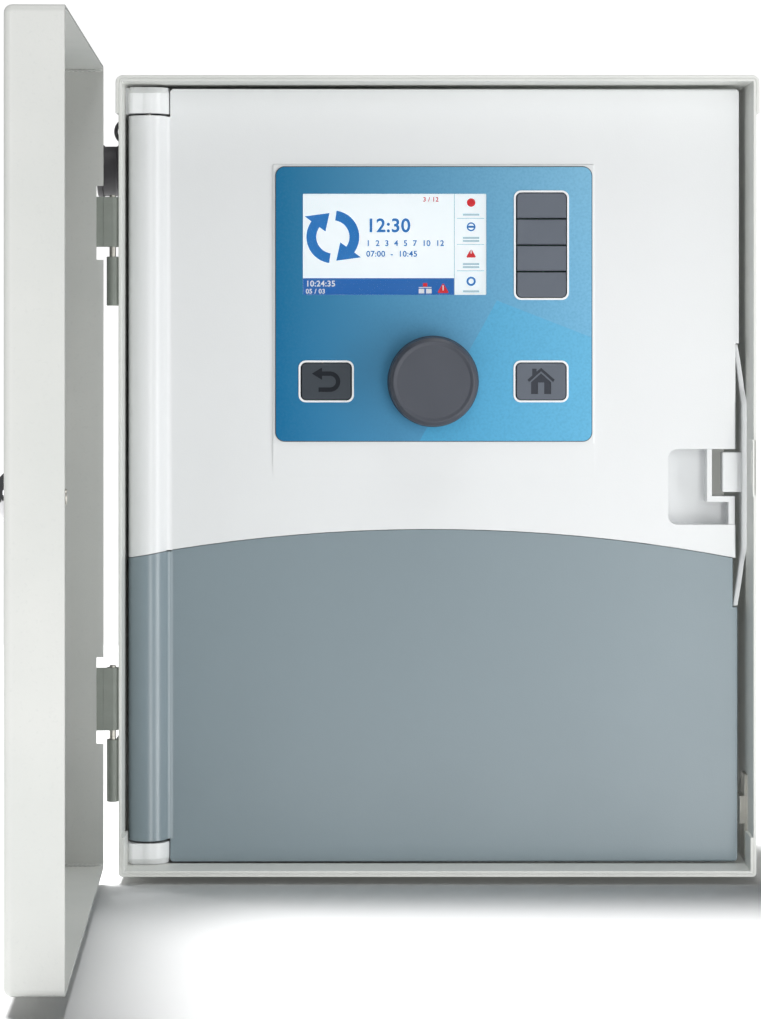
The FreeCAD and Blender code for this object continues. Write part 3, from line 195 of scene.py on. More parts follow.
def metal(name, base, rough, scratch):
    """Bare or plated metal with fine drawn scratches along Z and cloudy stains."""
    look = Look(name, Metallic=1.0)
    along_z = look.add("ShaderNodeMapping", Vector=look.place, Scale=(1.0, 1.0, 0.06)).outputs[0]
    lines = look.noise(scratch, 5.0, along_z)
    clouds = look.noise(0.012, 4.0)
    bright = tone(*base)
    darker = tuple(c * 0.72 for c in bright)
    tint = look.mix(look.span(clouds, 0.0, 1.0, 0.35, 0.75), bright, darker)
    look.colour(look.mix(look.span(lines, 0.0, 0.35, 0.4, 0.7), tint, darker))
    look.rough(lines, *rough)
    look.bump(lines, 0.00003)
    return look


def powder_coat():
    """Off-white powder coat: orange-peel skin, faint darker specks and paler edges."""
    look = Look("powder_coat", IOR=1.5)
    patches = look.noise(0.07, 4.0)
    specks = look.noise(0.0016, 2.0)
    tint = look.mix(look.span(patches, 0.0, 1.0, 0.35, 0.65), tone(222, 223, 219), tone(215, 217, 213))
    tint = look.mix(look.span(specks, 0.0, 0.35, 0.6, 0.75), tint, tone(207, 209, 206))
    edge = look.add("ShaderNodeNewGeometry").outputs["Pointiness"]
    look.colour(look.mix(look.span(edge, 0.0, 0.45, 0.52, 0.6), tint, tone(232, 233, 230)))
    look.rough(patches, 0.36, 0.5)
    peel = look.bump(look.noise(0.0026, 2.0), 0.00006)
    look.bump(look.cells(0.0009), 0.000018, under=peel)
    return look


def overlay_film():
    """Printed film: blue that pales to the right, partly in its print and partly as a painted sheen of the
    light on the right, with a lighter printed facet whose tip is by the knob.
    """
    low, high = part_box("control_overlay")
    look = Look("overlay_film", IOR=1.5, Specular_IOR_Level=0.2)
    x, _, z = look.axes()
    across = look.span(x, 0.0, 1.0, low.x, high.x)
    down = look.span(z, 1.0, 0.0, low.z, high.z)
    # Paler to the right: the print's own change of blue together with a painted sheen; towards the bottom the
    # right end is less pale.
    tint = look.mix(across, tone(2, 106, 150), tone(124, 182, 213))
    tint = look.mix(look.span(down, 0.0, 0.5), tint, look.mix(across, tone(0, 102, 151), tone(92, 170, 213)))

    def beyond(first, second):
        """1 on the left of the line from the first point to the second, by share of the film's size."""
        (ax, az), (bx, bz) = [
            (low.x + px * (high.x - low.x), high.z - pz * (high.z - low.z)) for px, pz in (first, second)
        ]
        side = look.math("MULTIPLY", look.math("SUBTRACT", z, az), bx - ax)
        other = look.math("MULTIPLY", look.math("SUBTRACT", x, ax), bz - az)
        blur = 0.00015 * math.hypot(bx - ax, bz - az)
        return look.span(look.math("SUBTRACT", other, side), 0.0, 1.0, -blur, blur)

    apex, edge, foot = (0.70, 0.487), (1.0, 0.622), (0.455, 1.0)
    facet = look.math("MULTIPLY", beyond(apex, edge), beyond(foot, apex))
    # The printed facet also pales to the right: print with painted sheen.
    light = look.mix(across, tone(34, 148, 196), tone(96, 178, 216))
    tint = look.mix(look.math("MULTIPLY", facet, 0.75), tint, light)
    weave = look.noise(0.0012, 2.0)
    look.colour(look.mix(look.span(weave, 0.0, 0.22, 0.4, 0.75), tint, tone(60, 120, 160)))
    look.rough(look.noise(0.03, 3.0), 0.34, 0.42)
    look.bump(look.cells(0.0007), 0.000012)
    return look


def lit_screen():
    """The screen's white ground, brightest in the middle, over a fine grid of dots."""
    low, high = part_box("display_lens")
    look = Look("lit_screen", Base_Color=(*tone(180, 186, 190), 1.0), Roughness=0.4, Emission_Strength=0.72)
    x, _, z = look.axes()
    off_x = look.math("ABSOLUTE", look.span(x, -1.0, 1.0, low.x, high.x))
    off_z = look.math("ABSOLUTE", look.span(z, -1.0, 1.0, low.z, high.z))
    fade = look.span(look.math("ADD", off_x, off_z), 0.0, 1.0, 0.4, 2.0)
    tint = look.mix(fade, tone(252, 254, 254), tone(240, 248, 250))
    look.glow(look.mix(look.span(look.cells(0.0004), 0.0, 0.12, 0.2, 0.6), tint, tone(225, 236, 240)))
    return look


def lit_ink(name, shown, strength=0.7):
    """One colour shown on the screen, with the faint grain of its dots."""
    look = Look(name, Roughness=0.4, Emission_Strength=strength)
    dots = look.span(look.cells(0.0004), 0.0, 0.25, 0.2, 0.6)
    bright = tone(*shown)

    def dotted(light, dark):
        return look.mix(dots, tuple(c * light for c in bright), tuple(c * dark for c in bright))

    look.glow(dotted(1.0, 0.8))
    look.colour(dotted(0.1, 0.06))
    return look


def circuit_board():
    """Green solder mask over routed copper, with bare pads."""
    look = Look("circuit_board", IOR=1.5)
    x, _, z = look.axes()
    flat = look.add("ShaderNodeCombineXYZ", X=x, Y=z).outputs[0]
    tracks = look.add("ShaderNodeTexBrick", {"offset": 0.37}, Vector=flat, Scale=110.0, Mortar_Size=0.06,
                      Mortar_Smooth=0.1, Brick_Width=0.9, Row_Height=0.28).outputs["Fac"]
    patches = look.noise(0.011, 2.0)
    shown = look.math("MULTIPLY", tracks, look.span(patches, 0.0, 1.0, 0.45, 0.55))
    green = look.mix(shown, tone(22, 96, 56), tone(52, 138, 84))
    pads = look.span(look.cells(0.0045, flat), 1.0, 0.0, 0.10, 0.14)
    look.colour(look.mix(pads, green, tone(206, 184, 120)))
    look.rough(patches, 0.3, 0.45)
    look.bump(look.math("ADD", shown, pads), 0.00004)
    return look


def banded(name, first, second, period, rough, bands="Y", metallic=0.0):
    """Thin alternating layers: a core's laminations or a winding's turns."""
    look = Look(name, Metallic=metallic)
    first, second = tone(*first), tone(*second)
    wave = look.add("ShaderNodeTexWave", {"bands_direction": bands}, Vector=look.place,
                    Scale=math.pi / 10 / period, Distortion=0.6, Detail=2.0).outputs["Fac"]
    blotch = look.noise(0.01, 3.0)
    look.colour(look.mix(look.span(wave, 0.0, 1.0, 0.3, 0.7), first, look.mix(blotch, second, first)))
    look.rough(blotch, *rough)
    look.bump(wave, 0.00008)
    return look


def screen_glass():
    look = Look("screen_glass", Base_Color=(0.97, 0.99, 1.0, 1.0), Transmission_Weight=1.0, IOR=1.45)
    look.rough(look.noise(0.02, 3.0), 0.01, 0.05)
    return look


def stage_floor():
    look = Look("stage_floor", Specular_IOR_Level=0.1)
    fleck = look.noise(0.2, 3.0)
    look.colour(look.mix(fleck, (0.93, 0.93, 0.93), (0.96, 0.96, 0.96)))
    look.rough(fleck, 0.7, 0.8)
    return look


LOOKS = {look.name: look for look in (
    powder_coat(),
    overlay_film(),
    screen_glass(),
    circuit_board(),
    moulded("white_plastic", (226, 228, 229), (222, 224, 225), (0.28, 0.36), depth=0.000016, IOR=1.5),
    moulded("grey_plastic", (127, 142, 149), (122, 137, 144), (0.26, 0.34), depth=0.000016, IOR=1.5,
            Specular_IOR_Level=0.7),
    moulded("key_rubber", (93, 100, 111), (85, 92, 103), (0.48, 0.6), 0.0006, blotch=0.02),
    moulded("key_icon", (38, 44, 56), (32, 38, 50), (0.5, 0.62), 0.0006, blotch=0.02),
    moulded("dark_key", (46, 55, 64), (41, 50, 59), (0.48, 0.6), 0.0006, blotch=0.02),
    moulded("dark_key_icon", (26, 31, 39), (20, 25, 33), (0.5, 0.62), 0.0006, blotch=0.02,
            Specular_IOR_Level=0.2),
    moulded("knob_plastic", (66, 70, 80), (60, 64, 74), (0.42, 0.54), 0.0006, blotch=0.02),
    moulded("white_print", (244, 245, 246), (234, 236, 238), (0.35, 0.45), 0.0006, 0.00001, 0.02),
    # Dark grey for the rim round the film: painted shadow along its edge.
    moulded("film_edge_painted_shadow", (70, 82, 92), (58, 68, 78), (0.4, 0.5), 0.0006, 0.00001, 0.02),
    moulded("dark_plastic", (44, 44, 46), (34, 34, 36), (0.4, 0.55)),
    moulded("dark_rubber", (84, 83, 86), (72, 71, 74), (0.42, 0.6), 0.0008, 0.00003, 0.012),
    moulded("terminal_plastic", (52, 138, 98), (40, 120, 84), (0.4, 0.5)),
    moulded("weld", (176, 178, 175), (150, 152, 149), (0.4, 0.6), 0.0008, 0.00006, 0.004),
    # Hinge leaves: powder coat darkened as painted shade, for leaves tucked behind the door's edge where
    # little light falls.
    moulded("hinge_painted_shade", (128, 134, 127), (112, 118, 111), (0.35, 0.5), blotch=0.006),
    metal("plated_steel", (190, 188, 180), (0.28, 0.45), 0.0006),
    metal("chrome_plate", (214, 214, 216), (0.08, 0.2), 0.0009),
    metal("bare_aluminium", (208, 208, 210), (0.25, 0.4), 0.0007),
    banded("core_steel", (96, 96, 100), (52, 52, 56), 0.0008, (0.4, 0.6), metallic=0.7),
    banded("coil_wrap", (206, 164, 84), (170, 126, 56), 0.0012, (0.35, 0.5), "Z"),
    lit_ink("ink_blue", (18, 122, 202), 0.8),
    lit_ink("ink_bar", (4, 104, 188), 0.8),
    lit_ink("ink_red", (238, 24, 36)),
    lit_ink("ink_white", (250, 252, 253), 0.72),
    lit_ink("ink_pale", (196, 226, 238), 0.72),
)}
LOOKS["display_module"] = lit_screen()


# ---------------------------------------------------------------- mesh helpers

def added(name, data):
    """A new object in the scene."""
    thing = bpy.data.objects.new(name, data)
    bpy.context.scene.collection.objects.link(thing)
    return thing


def mesh_of(bm, name):
    """An edited shape as a mesh. The edited one is used up."""
    mesh = bpy.data.meshes.new(name)
    bm.to_mesh(mesh)
    bm.free()
    return mesh


def worked_out(thing):
    """An object's curve or modifiers worked out, as a shape to edit."""
    shaped = thing.evaluated_get(bpy.context.evaluated_depsgraph_get())
    mesh = bpy.data.meshes.new_from_object(shaped)
    bm = bmesh.new()
    bm.from_mesh(mesh)
    bpy.data.meshes.remove(mesh)
    return bm


def outward(bm):
    """Turn one solid's faces outwards."""
    bmesh.ops.recalc_face_normals(bm, faces=bm.faces)
    if bm.calc_volume(signed=True) < 0:
        bmesh.ops.reverse_faces(bm, faces=bm.faces)
    return bm


def moved(bm, placement):
    bmesh.ops.transform(bm, matrix=placement, verts=bm.verts)
    return bm


def put(name, bm, body, slot, look=None, replaces=(), sharp=35, placement=None):
    """Finish a shape as a piece that rides on a body."""
    mesh = mesh_of(bm, name)
    if placement is not None:
        mesh.transform(placement)
    for polygon in mesh.polygons:
        polygon.use_smooth = True
    mesh.set_sharp_from_angle(angle=math.radians(sharp))
    mesh.materials.append(LOOKS[look or slot].material)
    piece = added(name, mesh)
    piece.modifiers.new("even_shading", "WEIGHTED_NORMAL").keep_sharp = True
    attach(piece, body)
    if replaces:
        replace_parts(piece, *replaces)


def stand_for(node, bm, **finish):
    """Finish a shape as the piece that stands for one CAD node."""
    body = frame["nodes"][node]["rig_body"]
    put(f"{node}_shape", bm, body, SLOT_OF[node], replaces=[node], **finish)


def from_node(node):
    """A CAD node's shape with its flat faces made whole again."""
    bm = bmesh.new()
    bm.from_mesh(frame["nodes"][node].data)
    bmesh.ops.remove_doubles(bm, verts=bm.verts, dist=2e-6)
    bmesh.ops.dissolve_limit(bm, angle_limit=math.radians(1.0), verts=bm.verts, edges=bm.edges)
    return bm


def soften(bm, width, steps=2, chosen=None, angle=40):
    """Round the sharp edges, or only the chosen ones."""
    sharp = [edge for edge in bm.edges if edge.is_manifold and edge.calc_face_angle() > math.radians(angle)]
    edges = [edge for edge in sharp if chosen is None or chosen(edge)]
    bmesh.ops.bevel(bm, geom=edges, offset=width, offset_type="OFFSET", segments=steps, profile=0.5,
                    affect="EDGES", clamp_overlap=False)
    return bm


def softened(node, look=None):
    """Stand for a CAD node with the same shape, its edges rounded."""
    stand_for(node, soften(from_node(node), 0.3 * MM), look=look)


def filleted(points, radius, steps=6):
    """A closed outline with each corner rounded, by one radius or one for each corner."""
    outline = []
    for index, point in enumerate(points):
        size = radius[index] if isinstance(radius, (list, tuple)) else radius
        here = Vector(point)
        back = Vector(points[index - 1]) - here
        ahead = Vector(points[(index + 1) % len(points)]) - here
        half = back.angle(ahead) / 2
        if size <= 0 or half > math.radians(88):
            outline.append(tuple(here))
            continue
        reach = min(size / math.tan(half), 0.499 * back.length, 0.499 * ahead.length)
        size = reach * math.tan(half)
        centre = here + (back.normalized() + ahead.normalized()).normalized() * (size / math.sin(half))
        first = here + back.normalized() * reach - centre
        last = here + ahead.normalized() * reach - centre
        turn = math.atan2(first.x * last.y - first.y * last.x, first.dot(last))
        for step in range(steps + 1):
            angle = turn * step / steps
            swung = Vector((first.x * math.cos(angle) - first.y * math.sin(angle),
                            first.x * math.sin(angle) + first.y * math.cos(angle)))
            outline.append(tuple(centre + swung))
    return outline


def rounded(x, z, radius, steps=6):
    """A rectangle with round corners."""
    return filleted([(x[0], z[0]), (x[1], z[0]), (x[1], z[1]), (x[0], z[1])], radius, steps)


def wider(span, by):
    """A low and a high place, moved this much apart."""
    return span[0] - by, span[1] + by


def about(centre, half):
    """The low and the high place this far to both sides of a centre."""
    return centre - half, centre + half


def framed(low, high, grow, radius, steps):
    """A box's front as an outline with round corners, this much bigger on each side."""
    return rounded(wider((low.x, high.x), grow), wider((low.z, high.z), grow), radius, steps)


def arc(x, z, radius, angles):
    """The points of a circle at these angles."""
    return [(x + radius * math.cos(a), z + radius * math.sin(a)) for a in angles]


def ring(x, z, radius, count=32):
    return arc(x, z, radius, [2 * math.pi * k / count for k in range(count)])


FACING_FRONT = Matrix(((1, 0, 0, 0), (0, 0, -1, 0), (0, 1, 0, 0), (0, 0, 0, 1)))


def stood_up(curve, place, merge):
    """A filled curve as a shape that faces the front. The curve is used up."""
    holder = added("outline", curve)
    bm = worked_out(holder)
    bpy.data.objects.remove(holder)
    bpy.data.curves.remove(curve)
    bmesh.ops.remove_doubles(bm, verts=bm.verts, dist=merge)
    return moved(bm, Matrix.Translation(place) @ FACING_FRONT)


def plate(outlines, back, front, edge, steps=2):
    """A flat shape facing -Y between two depths, with round edges.

    Outlines are lists of (x, z): the outer one, then its holes.
    """
    curve = bpy.data.curves.new("outline", "CURVE")
    curve.dimensions = "2D"
    curve.fill_mode = "BOTH"
    for points in outlines:
        spline = curve.splines.new("POLY")
        spline.points.add(len(points) - 1)
        for point, (x, z) in zip(spline.points, points):
            point.co = (x, z, 0, 1)
        spline.use_cyclic_u = True
    curve.offset = -edge
    curve.extrude = abs(front - back) / 2 - edge
    curve.bevel_depth = edge
    curve.bevel_resolution = steps
    return outward(stood_up(curve, (0, (front + back) / 2, 0), 1e-6))


def turned(profile, steps=96):
    """A solid turned about Z from a closed outline of (radius, height)."""
    bm = bmesh.new()
    corners = [bm.verts.new((radius, 0, height)) for radius, height in profile]
    pairs = zip(corners, corners[1:] + corners[:1])
    edges = [bm.edges.new(pair) for pair in pairs if max(vert.co.x for vert in pair) > 1e-9]
    bmesh.ops.spin(bm, geom=[*corners, *edges], cent=(0, 0, 0), axis=(0, 0, 1), angle=2 * math.pi,
                   steps=steps, use_merge=True)
    bmesh.ops.remove_doubles(bm, verts=bm.verts, dist=1e-7)
    return outward(bm)


def lofted(rings):
    """A solid skinned over loops of points, each with the same number of points, closed at both ends."""
    bm = bmesh.new()
    loops = [[bm.verts.new(point) for point in ring_points] for ring_points in rings]
    count = len(loops[0])
    for here, there in zip(loops, loops[1:]):
        for k in range(count):
            bm.faces.new((here[k], here[(k + 1) % count], there[(k + 1) % count], there[k]))
    bm.faces.new(loops[0][::-1])
    bm.faces.new(loops[-1])
    return outward(bm)


def extruded(outline, low, high):
    """A solid from an (x, y) outline, between two heights."""
    return lofted([[(x, y, height) for x, y in outline] for height in (low, high)])


def block(x, y, z, edge=0.3 * MM, steps=2):
    """A box with round edges, between a low and a high place on each axis."""
    bm = bmesh.new()
    spans = [(min(a), max(a)) for a in (x, y, z)]
    centre = Vector([(low + high) / 2 for low, high in spans])
    size = [high - low for low, high in spans]
    bmesh.ops.create_cube(bm, size=1.0, matrix=Matrix.Translation(centre) @ Matrix.Diagonal((*size, 1.0)))
    return outward(soften(bm, min(edge, 0.3 * min(size)), steps))


def drill(radius, start, end):
    """A round cutter between two places."""
    run = Vector(end) - Vector(start)
    bm = turned([(0, 0), (radius, 0), (radius, run.length), (0, run.length)], 64)
    return moved(bm, Matrix.Translation(start) @ run.to_track_quat("Z", "Y").to_matrix().to_4x4())


def joined(*solids):
    """Several separate solids as one shape."""
    whole = bmesh.new()
    for bm in solids:
        mesh = mesh_of(bm, "part")
        whole.from_mesh(mesh)
        bpy.data.meshes.remove(mesh)
    return whole


def cut_out(bm, cutters):
    """Take cutters out of a closed shape."""
    holders = [added(f"cut_{index}", mesh_of(part, "cut")) for index, part in enumerate([bm, *cutters])]
    for cutter in holders[1:]:
        modifier = holders[0].modifiers.new("cut", "BOOLEAN")
        modifier.object = cutter
        modifier.operation = "DIFFERENCE"
        modifier.solver = "EXACT"
    result = worked_out(holders[0])
    for holder in holders:
        old = holder.data
        bpy.data.objects.remove(holder)
        bpy.data.meshes.remove(old)
    return result


def facing_front(x, y, z):
    """Stands a turned solid's axis out of the front."""
    return Matrix.Translation((x, y, z)) @ Matrix.Rotation(math.radians(90), 4, "X")


def facing_left(x, y, z):
    return Matrix.Translation((x, y, z)) @ Matrix.Rotation(math.radians(-90), 4, "Y")


def middle(node):
    low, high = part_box(node)
    return (low + high) / 2


# ---------------------------------------------------------------- cabinet

SHEET = 1.5 * MM
PLUG_HEAD, PLUG_STEM = mm(14.0, 11.1)


def sheet_pan(x, z, floor, mouth, radius):
    """A pan of folded sheet, its floor at one depth and its open side at another, its folds round."""
    way = math.copysign(1.0, mouth - floor)
    deep = abs(mouth - floor)
    rim = 0.3 * MM
    within = max(radius - SHEET, 0.2 * MM)
    bends = [math.radians(angle) for angle in range(0, 91, 18)]
    lips = [(0.0, rim), (0.3 * rim, 0.3 * rim), (rim, 0.0)]

    def loop(inset, depth, corner):
        outline = rounded(wider(x, -inset), wider(z, -inset), max(corner, 0.05 * MM))
        return [(px, floor + way * depth, pz) for px, pz in outline]

    def fold(start, size, turns):
        """A bend between the floor and the walls, begun this far inside the sheet's outer face."""
        return [loop(start + size * (1 - math.sin(a)), start + size * (1 - math.cos(a)), size * math.sin(a))
                for a in turns]

    rings = fold(0.0, radius, bends)
    rings += [loop(inset, deep - back, radius) for inset, back in lips]
    rings += [loop(SHEET - inset, deep - back, within) for inset, back in reversed(lips)]
    rings += fold(SHEET, within, reversed(bends))
    return lofted(rings)


def plug_places():
    """Where the plugs of the unused conduit holes are, along X."""
    low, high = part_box("conduit_plugs")
    return low.x + PLUG_HEAD, high.x - PLUG_HEAD


def cabinet_shell():
    """The box with its holes for wall bolts, conduits and the service port."""
    low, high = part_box("cabinet_shell")
    past, port_r = mm(5, 9.2)
    mounts = {mount["name"]: mount for mount in frame["record"]["mounts"]}
    bolts, entry = mounts["wall_bolts"]["dims"], mounts["conduit_entry"]
    across, up = bolts["spacing_x_mm"] * MM / 2, bolts["spacing_y_mm"] * MM / 2
    cutters = [drill(bolts["hole_r_mm"] * MM, (x, -past, z), (x, past, z))
               for x in about(0.0, across) for z in about(0.0, up)]
    entry_x, y = entry["pos_m"][:2]
    entries = [(entry_x, entry["dims"]["r_mm"] * MM), *((x, PLUG_STEM) for x in plug_places())]
    cutters += [drill(radius, (x, y, low.z - past), (x, y, low.z + past)) for x, radius in entries]
    port = middle("port_nut")
    cutters.append(drill(port_r, (low.x - past, port.y, port.z), (low.x + past, port.y, port.z)))
    pan = sheet_pan((low.x, high.x), (low.z, high.z), high.y, low.y, 2.0 * MM)
    stand_for("cabinet_shell", cut_out(pan, cutters))


def drip_hood():
    """A strip bent over the cabinet's top edge, its bends as round as the cabinet's own corners."""
    low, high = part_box("drip_hood")
    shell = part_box("cabinet_shell")[1]
    outer, inner, foot = mm(3.6, 2.0, 0.5)
    points = [(low.x, low.z), (-shell.x, low.z), (-shell.x, shell.z), (shell.x, shell.z), (shell.x, low.z),
              (high.x, low.z), (high.x, high.z), (low.x, high.z)]
    outline = filleted(points, [foot, foot, inner, inner, foot, foot, outer, outer])
    strip = moved(extruded(outline, 0.0, high.y - low.y), Matrix.Translation((0, high.y, 0)) @ FACING_FRONT)
    stand_for("drip_hood", soften(strip, 0.35 * MM, angle=60))


def pivot_block(node, top):
    """A pillowy corner block: round on the side where the panel swings, with one end sloped back."""
    low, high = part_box(node)
    pivot = Vector(JOINTS["panel_hinge"]["pos_m"])
    left = low.x + 2.0 * MM
    nose = arc(pivot.x, pivot.y, high.x - pivot.x, [math.radians(angle) for angle in range(-104, 0, 6)])
    lead = filleted([(left, high.y), (left, low.y), (nose[0][0] - 0.1 * MM, low.y)], mm(0, 2.6, 0))
    outline = [*lead[:-1], *nose, (high.x, high.y)]
    near, far = (low.z, high.z) if top else (high.z, low.z)
    step = math.copysign(1.0, far - near) * MM
    centre_x = (left + high.x) / 2

    def level(height, inset):
        """The outline drawn back by this much at the front, and a little at both sides."""
        wide = 1 - 0.16 * inset / (high.x - centre_x)
        deep = 1 - inset / (high.y - low.y)
        return [(centre_x + (x - centre_x) * wide, high.y + (y - high.y) * deep, height) for x, y in outline]

    pillow = lofted([
        level(near, 0.3 * MM), level(near + step * 0.3, 0.0), level(far - step * 3.3, 0.0),
        level(far - step * 2.9, 0.25 * MM), level(far - step * 0.2, 2.9 * MM), level(far, 3.2 * MM),
    ])
    heel = block((low.x, left + 1.0 * MM), (low.y + 11 * MM, high.y), (low.z, high.z))
    stand_for(node, joined(pillow, heel), sharp=30)


def dust_cap():
    """A ribbed cap over the service port."""
    low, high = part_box("dust_cap")
    centre = (low + high) / 2
    radius, length = high.z - centre.z, high.x - low.x
    bore, roof, waist = radius - 3.5 * MM, length - 2.8 * MM, radius - 0.7 * MM
    profile = filleted([
        (0, roof), (bore, roof), (bore, 0), (radius, 0), (radius, 2.4 * MM), (waist, 3.0 * MM),
        (waist, length - 3.4 * MM), (radius, length - 2.8 * MM), (radius, length), (0, length),
    ], mm(0, 0.4, 0.3, 0.4, 0.3, 0.3, 0.3, 0.3, 1.2, 0), 4)
    cap = turned(profile, 144)
    ribs = 36
    for vert in cap.verts:
        reach = math.hypot(vert.co.x, vert.co.y)
        if reach > radius - 0.9 * MM and 3.2 * MM < vert.co.z < length - 3.6 * MM:
            ripple = 0.18 * MM * (1 + math.cos(ribs * math.atan2(vert.co.y, vert.co.x)))
            vert.co.xy *= (reach + ripple) / reach
    stand_for("dust_cap", cap, placement=facing_left(high.x, centre.y, centre.z))


def cap_tether():
    """The loop on the wall that keeps the cap from being lost."""
    low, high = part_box("cap_tether")
    thick = (high.y - low.y) / 2
    foot = Vector((high.x, (low.y + high.y) / 2, (low.z + high.z) / 2))
    reach_x, reach_z = high.x - low.x - thick, (high.z - low.z) / 2 - thick
    rings = []
    for angle in (math.pi * step / 32 for step in range(33)):
        along = Vector((-math.sin(angle), 0, math.cos(angle)))
        spot = foot + Vector((-reach_x * math.sin(angle), 0, reach_z * math.cos(angle)))
        rings.append([spot + along * a + Vector((0, 0.9 * b, 0)) for a, b in ring(0, 0, thick, 16)])
    stand_for("cap_tether", lofted(rings))


def conduit_plugs():
    """Snap-in plugs: a low head with a sloped rim, and a hollow stem."""
    low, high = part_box("conduit_plugs")
    shell_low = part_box("cabinet_shell")[0].z
    drop, rise = shell_low - low.z, high.z - shell_low
    bore, floor = mm(9.6, 0.6)
    profile = filleted([
        (0, -drop), (PLUG_HEAD - 2 * MM, -drop), (PLUG_HEAD, -1.0 * MM), (PLUG_HEAD, 0), (PLUG_STEM, 0),
        (PLUG_STEM, rise), (bore, rise), (bore, floor), (0, floor),
    ], mm(0, 1.5, 0.4, 0.2, 0, 0.5, 0.2, 0.3, 0), 4)
    places = [Matrix.Translation((x, (low.y + high.y) / 2, shell_low)) for x in plug_places()]
    stand_for("conduit_plugs", joined(*(moved(turned(profile, 72), place) for place in places)))


# ---------------------------------------------------------------- outer door

# The door rests open; door_swing carries a shape drawn on the closed door to where it rests.
HINGE = JOINTS["outer_door_hinge"]
door_axis = Matrix.Translation((HINGE["pos_m"][0], HINGE["pos_m"][1], 0))
opened = Matrix.Rotation(-math.radians(HINGE["range_deg"][1]), 4, "Z")
door_swing = door_axis @ opened @ door_axis.inverted()
door_shut = door_swing.inverted()


def weld_bead(start, end, radius, beads):
    """A row of overlapping drops along a line."""
    run = Vector(end) - Vector(start)
    side = run.orthogonal().normalized()
    other = run.cross(side).normalized()
    steps = beads * 4
    rings = []
    for share in (step / steps for step in range(steps + 1)):
        swell = radius * (0.72 + 0.28 * abs(math.sin(math.pi * beads * share)))
        swell *= min(1.0, 0.25 + 4 * min(share, 1 - share))
        spot = Vector(start) + run * share
        rings.append([spot + side * a + other * b for a, b in ring(0, 0, swell, 8)])
    return lofted(rings)


def closed_door_box(node):
    """A door node's lowest and highest corners with the door shut."""
    corners = [door_shut @ v.co for v in frame["nodes"][node].data.vertices]
    return [Vector([pick(c[k] for c in corners) for k in range(3)]) for pick in (min, max)]


def hinge_spans():
    """Where the pan's hinge side is notched: past each leaf's knuckle, with more room below."""
    heights = [(door_shut @ v.co).z for v in frame["nodes"]["door_hinge_leaves"].data.vertices]
    split = (min(heights) + max(heights)) / 2
    leaves = [z for z in heights if z > split], [z for z in heights if z <= split]
    return [(min(leaf) - 6.5 * MM, max(leaf) + 5.4 * MM) for leaf in leaves]


def door_pan():
    """The pan with its lock hole and hinge notches, and a weld in each corner."""
    low, high = closed_door_box("door_pan")
    past, lock_r = mm(5, 9.3)
    pan = sheet_pan((low.x, high.x), (low.z, high.z), low.y, high.y, 3.4 * MM)
    lock = door_shut @ middle("lock_body")
    notches = [block((low.x - past, low.x + 3.0 * MM), (high.y - 3.5 * MM, high.y + past), span, 0.2 * MM, 1)
               for span in hinge_spans()]
    hole = drill(lock_r, (lock.x, low.y - past, lock.z), (lock.x, low.y + past, lock.z))
    stand_for("door_pan", cut_out(pan, [*notches, hole]), placement=door_swing)
    seam = SHEET + 0.5 * MM
    inside = [(x, z) for x in wider((low.x, high.x), -seam) for z in wider((low.z, high.z), -seam)]
    beads = [weld_bead((x, low.y + 3 * MM, z), (x, high.y - 1.0 * MM, z), 0.9 * MM, 9) for x, z in inside]
    put("door_corner_welds", joined(*beads), "outer_door", "powder_coat", look="weld", placement=door_swing)


def lock():
    """Cam lock: a chrome head with a stepped rim, round the plug."""
    low, high = closed_door_box("lock_body")
    seat = facing_front((low.x + high.x) / 2, 0, (low.z + high.z) / 2)
    face, back = -low.y, -high.y
    pan_face = -closed_door_box("door_pan")[0].y
    radius = (high.z - low.z) / 2
    bore, stem = mm(6.0, 9.0)
    profile = filleted([
        (bore, back), (stem, back), (stem, pan_face), (radius, pan_face), (radius, face - 2.2 * MM),
        (radius - 1.8 * MM, face - 0.5 * MM), (radius - 2.2 * MM, face), (bore + 0.5 * MM, face),
        (bore, face - 0.5 * MM),
    ], mm(0.2, 0.4, 0, 0.3, 1.2, 0.3, 0.3, 0.2, 0.2), 4)
    stand_for("lock_body", turned(profile), placement=door_swing @ seat)


# ---------------------------------------------------------------- inner panel

UPPER_FACE, LOWER_FACE = mm(-114.0, -113.2)
PANEL_LEFT, PANEL_RIGHT, PANEL_END = mm(-134.5, 151.5, 194.9)


def covers():
    """Both covers with soft edges; the panel's own outer corners are rounder than the rest."""
    recess_left = 116.8 * MM
    rim_left, rim_right = mm(-134.4, 149.4)
    for node, face in (("upper_cover", UPPER_FACE), ("lower_cover", LOWER_FACE)):

        def at(place, *values):
            return all(abs(value - place) < 1e-5 for value in values)

        def recess_corner(edge):
            a, b = edge.verts
            inward = abs(a.co.z - b.co.z) < 1e-6 and abs(a.co.y - b.co.y) > 1.0 * MM
            return inward and at(recess_left, a.co.x, b.co.x)

        def panel_corner(edge):
            a, b = edge.verts
            inward = abs(a.co.z - b.co.z) < 1e-6 and abs(a.co.x - b.co.x) < 1e-6
            at_side = at(PANEL_LEFT, a.co.x) or a.co.x > PANEL_RIGHT
            return inward and at_side and abs(a.co.z) > PANEL_END

        def outer_front(edge):
            places = [v.co for v in edge.verts]
            rim = all(p.x > rim_right or abs(p.z) > PANEL_END or p.x < rim_left for p in places)
            return rim and at(face, *(p.y for p in places))

        bm = soften(from_node(node), 4.6 * MM, 6, recess_corner)
        soften(bm, 2.0 * MM, 4, panel_corner)
        soften(bm, 1.1 * MM, 4, outer_front)
        stand_for(node, soften(bm, 0.25 * MM, angle=50))


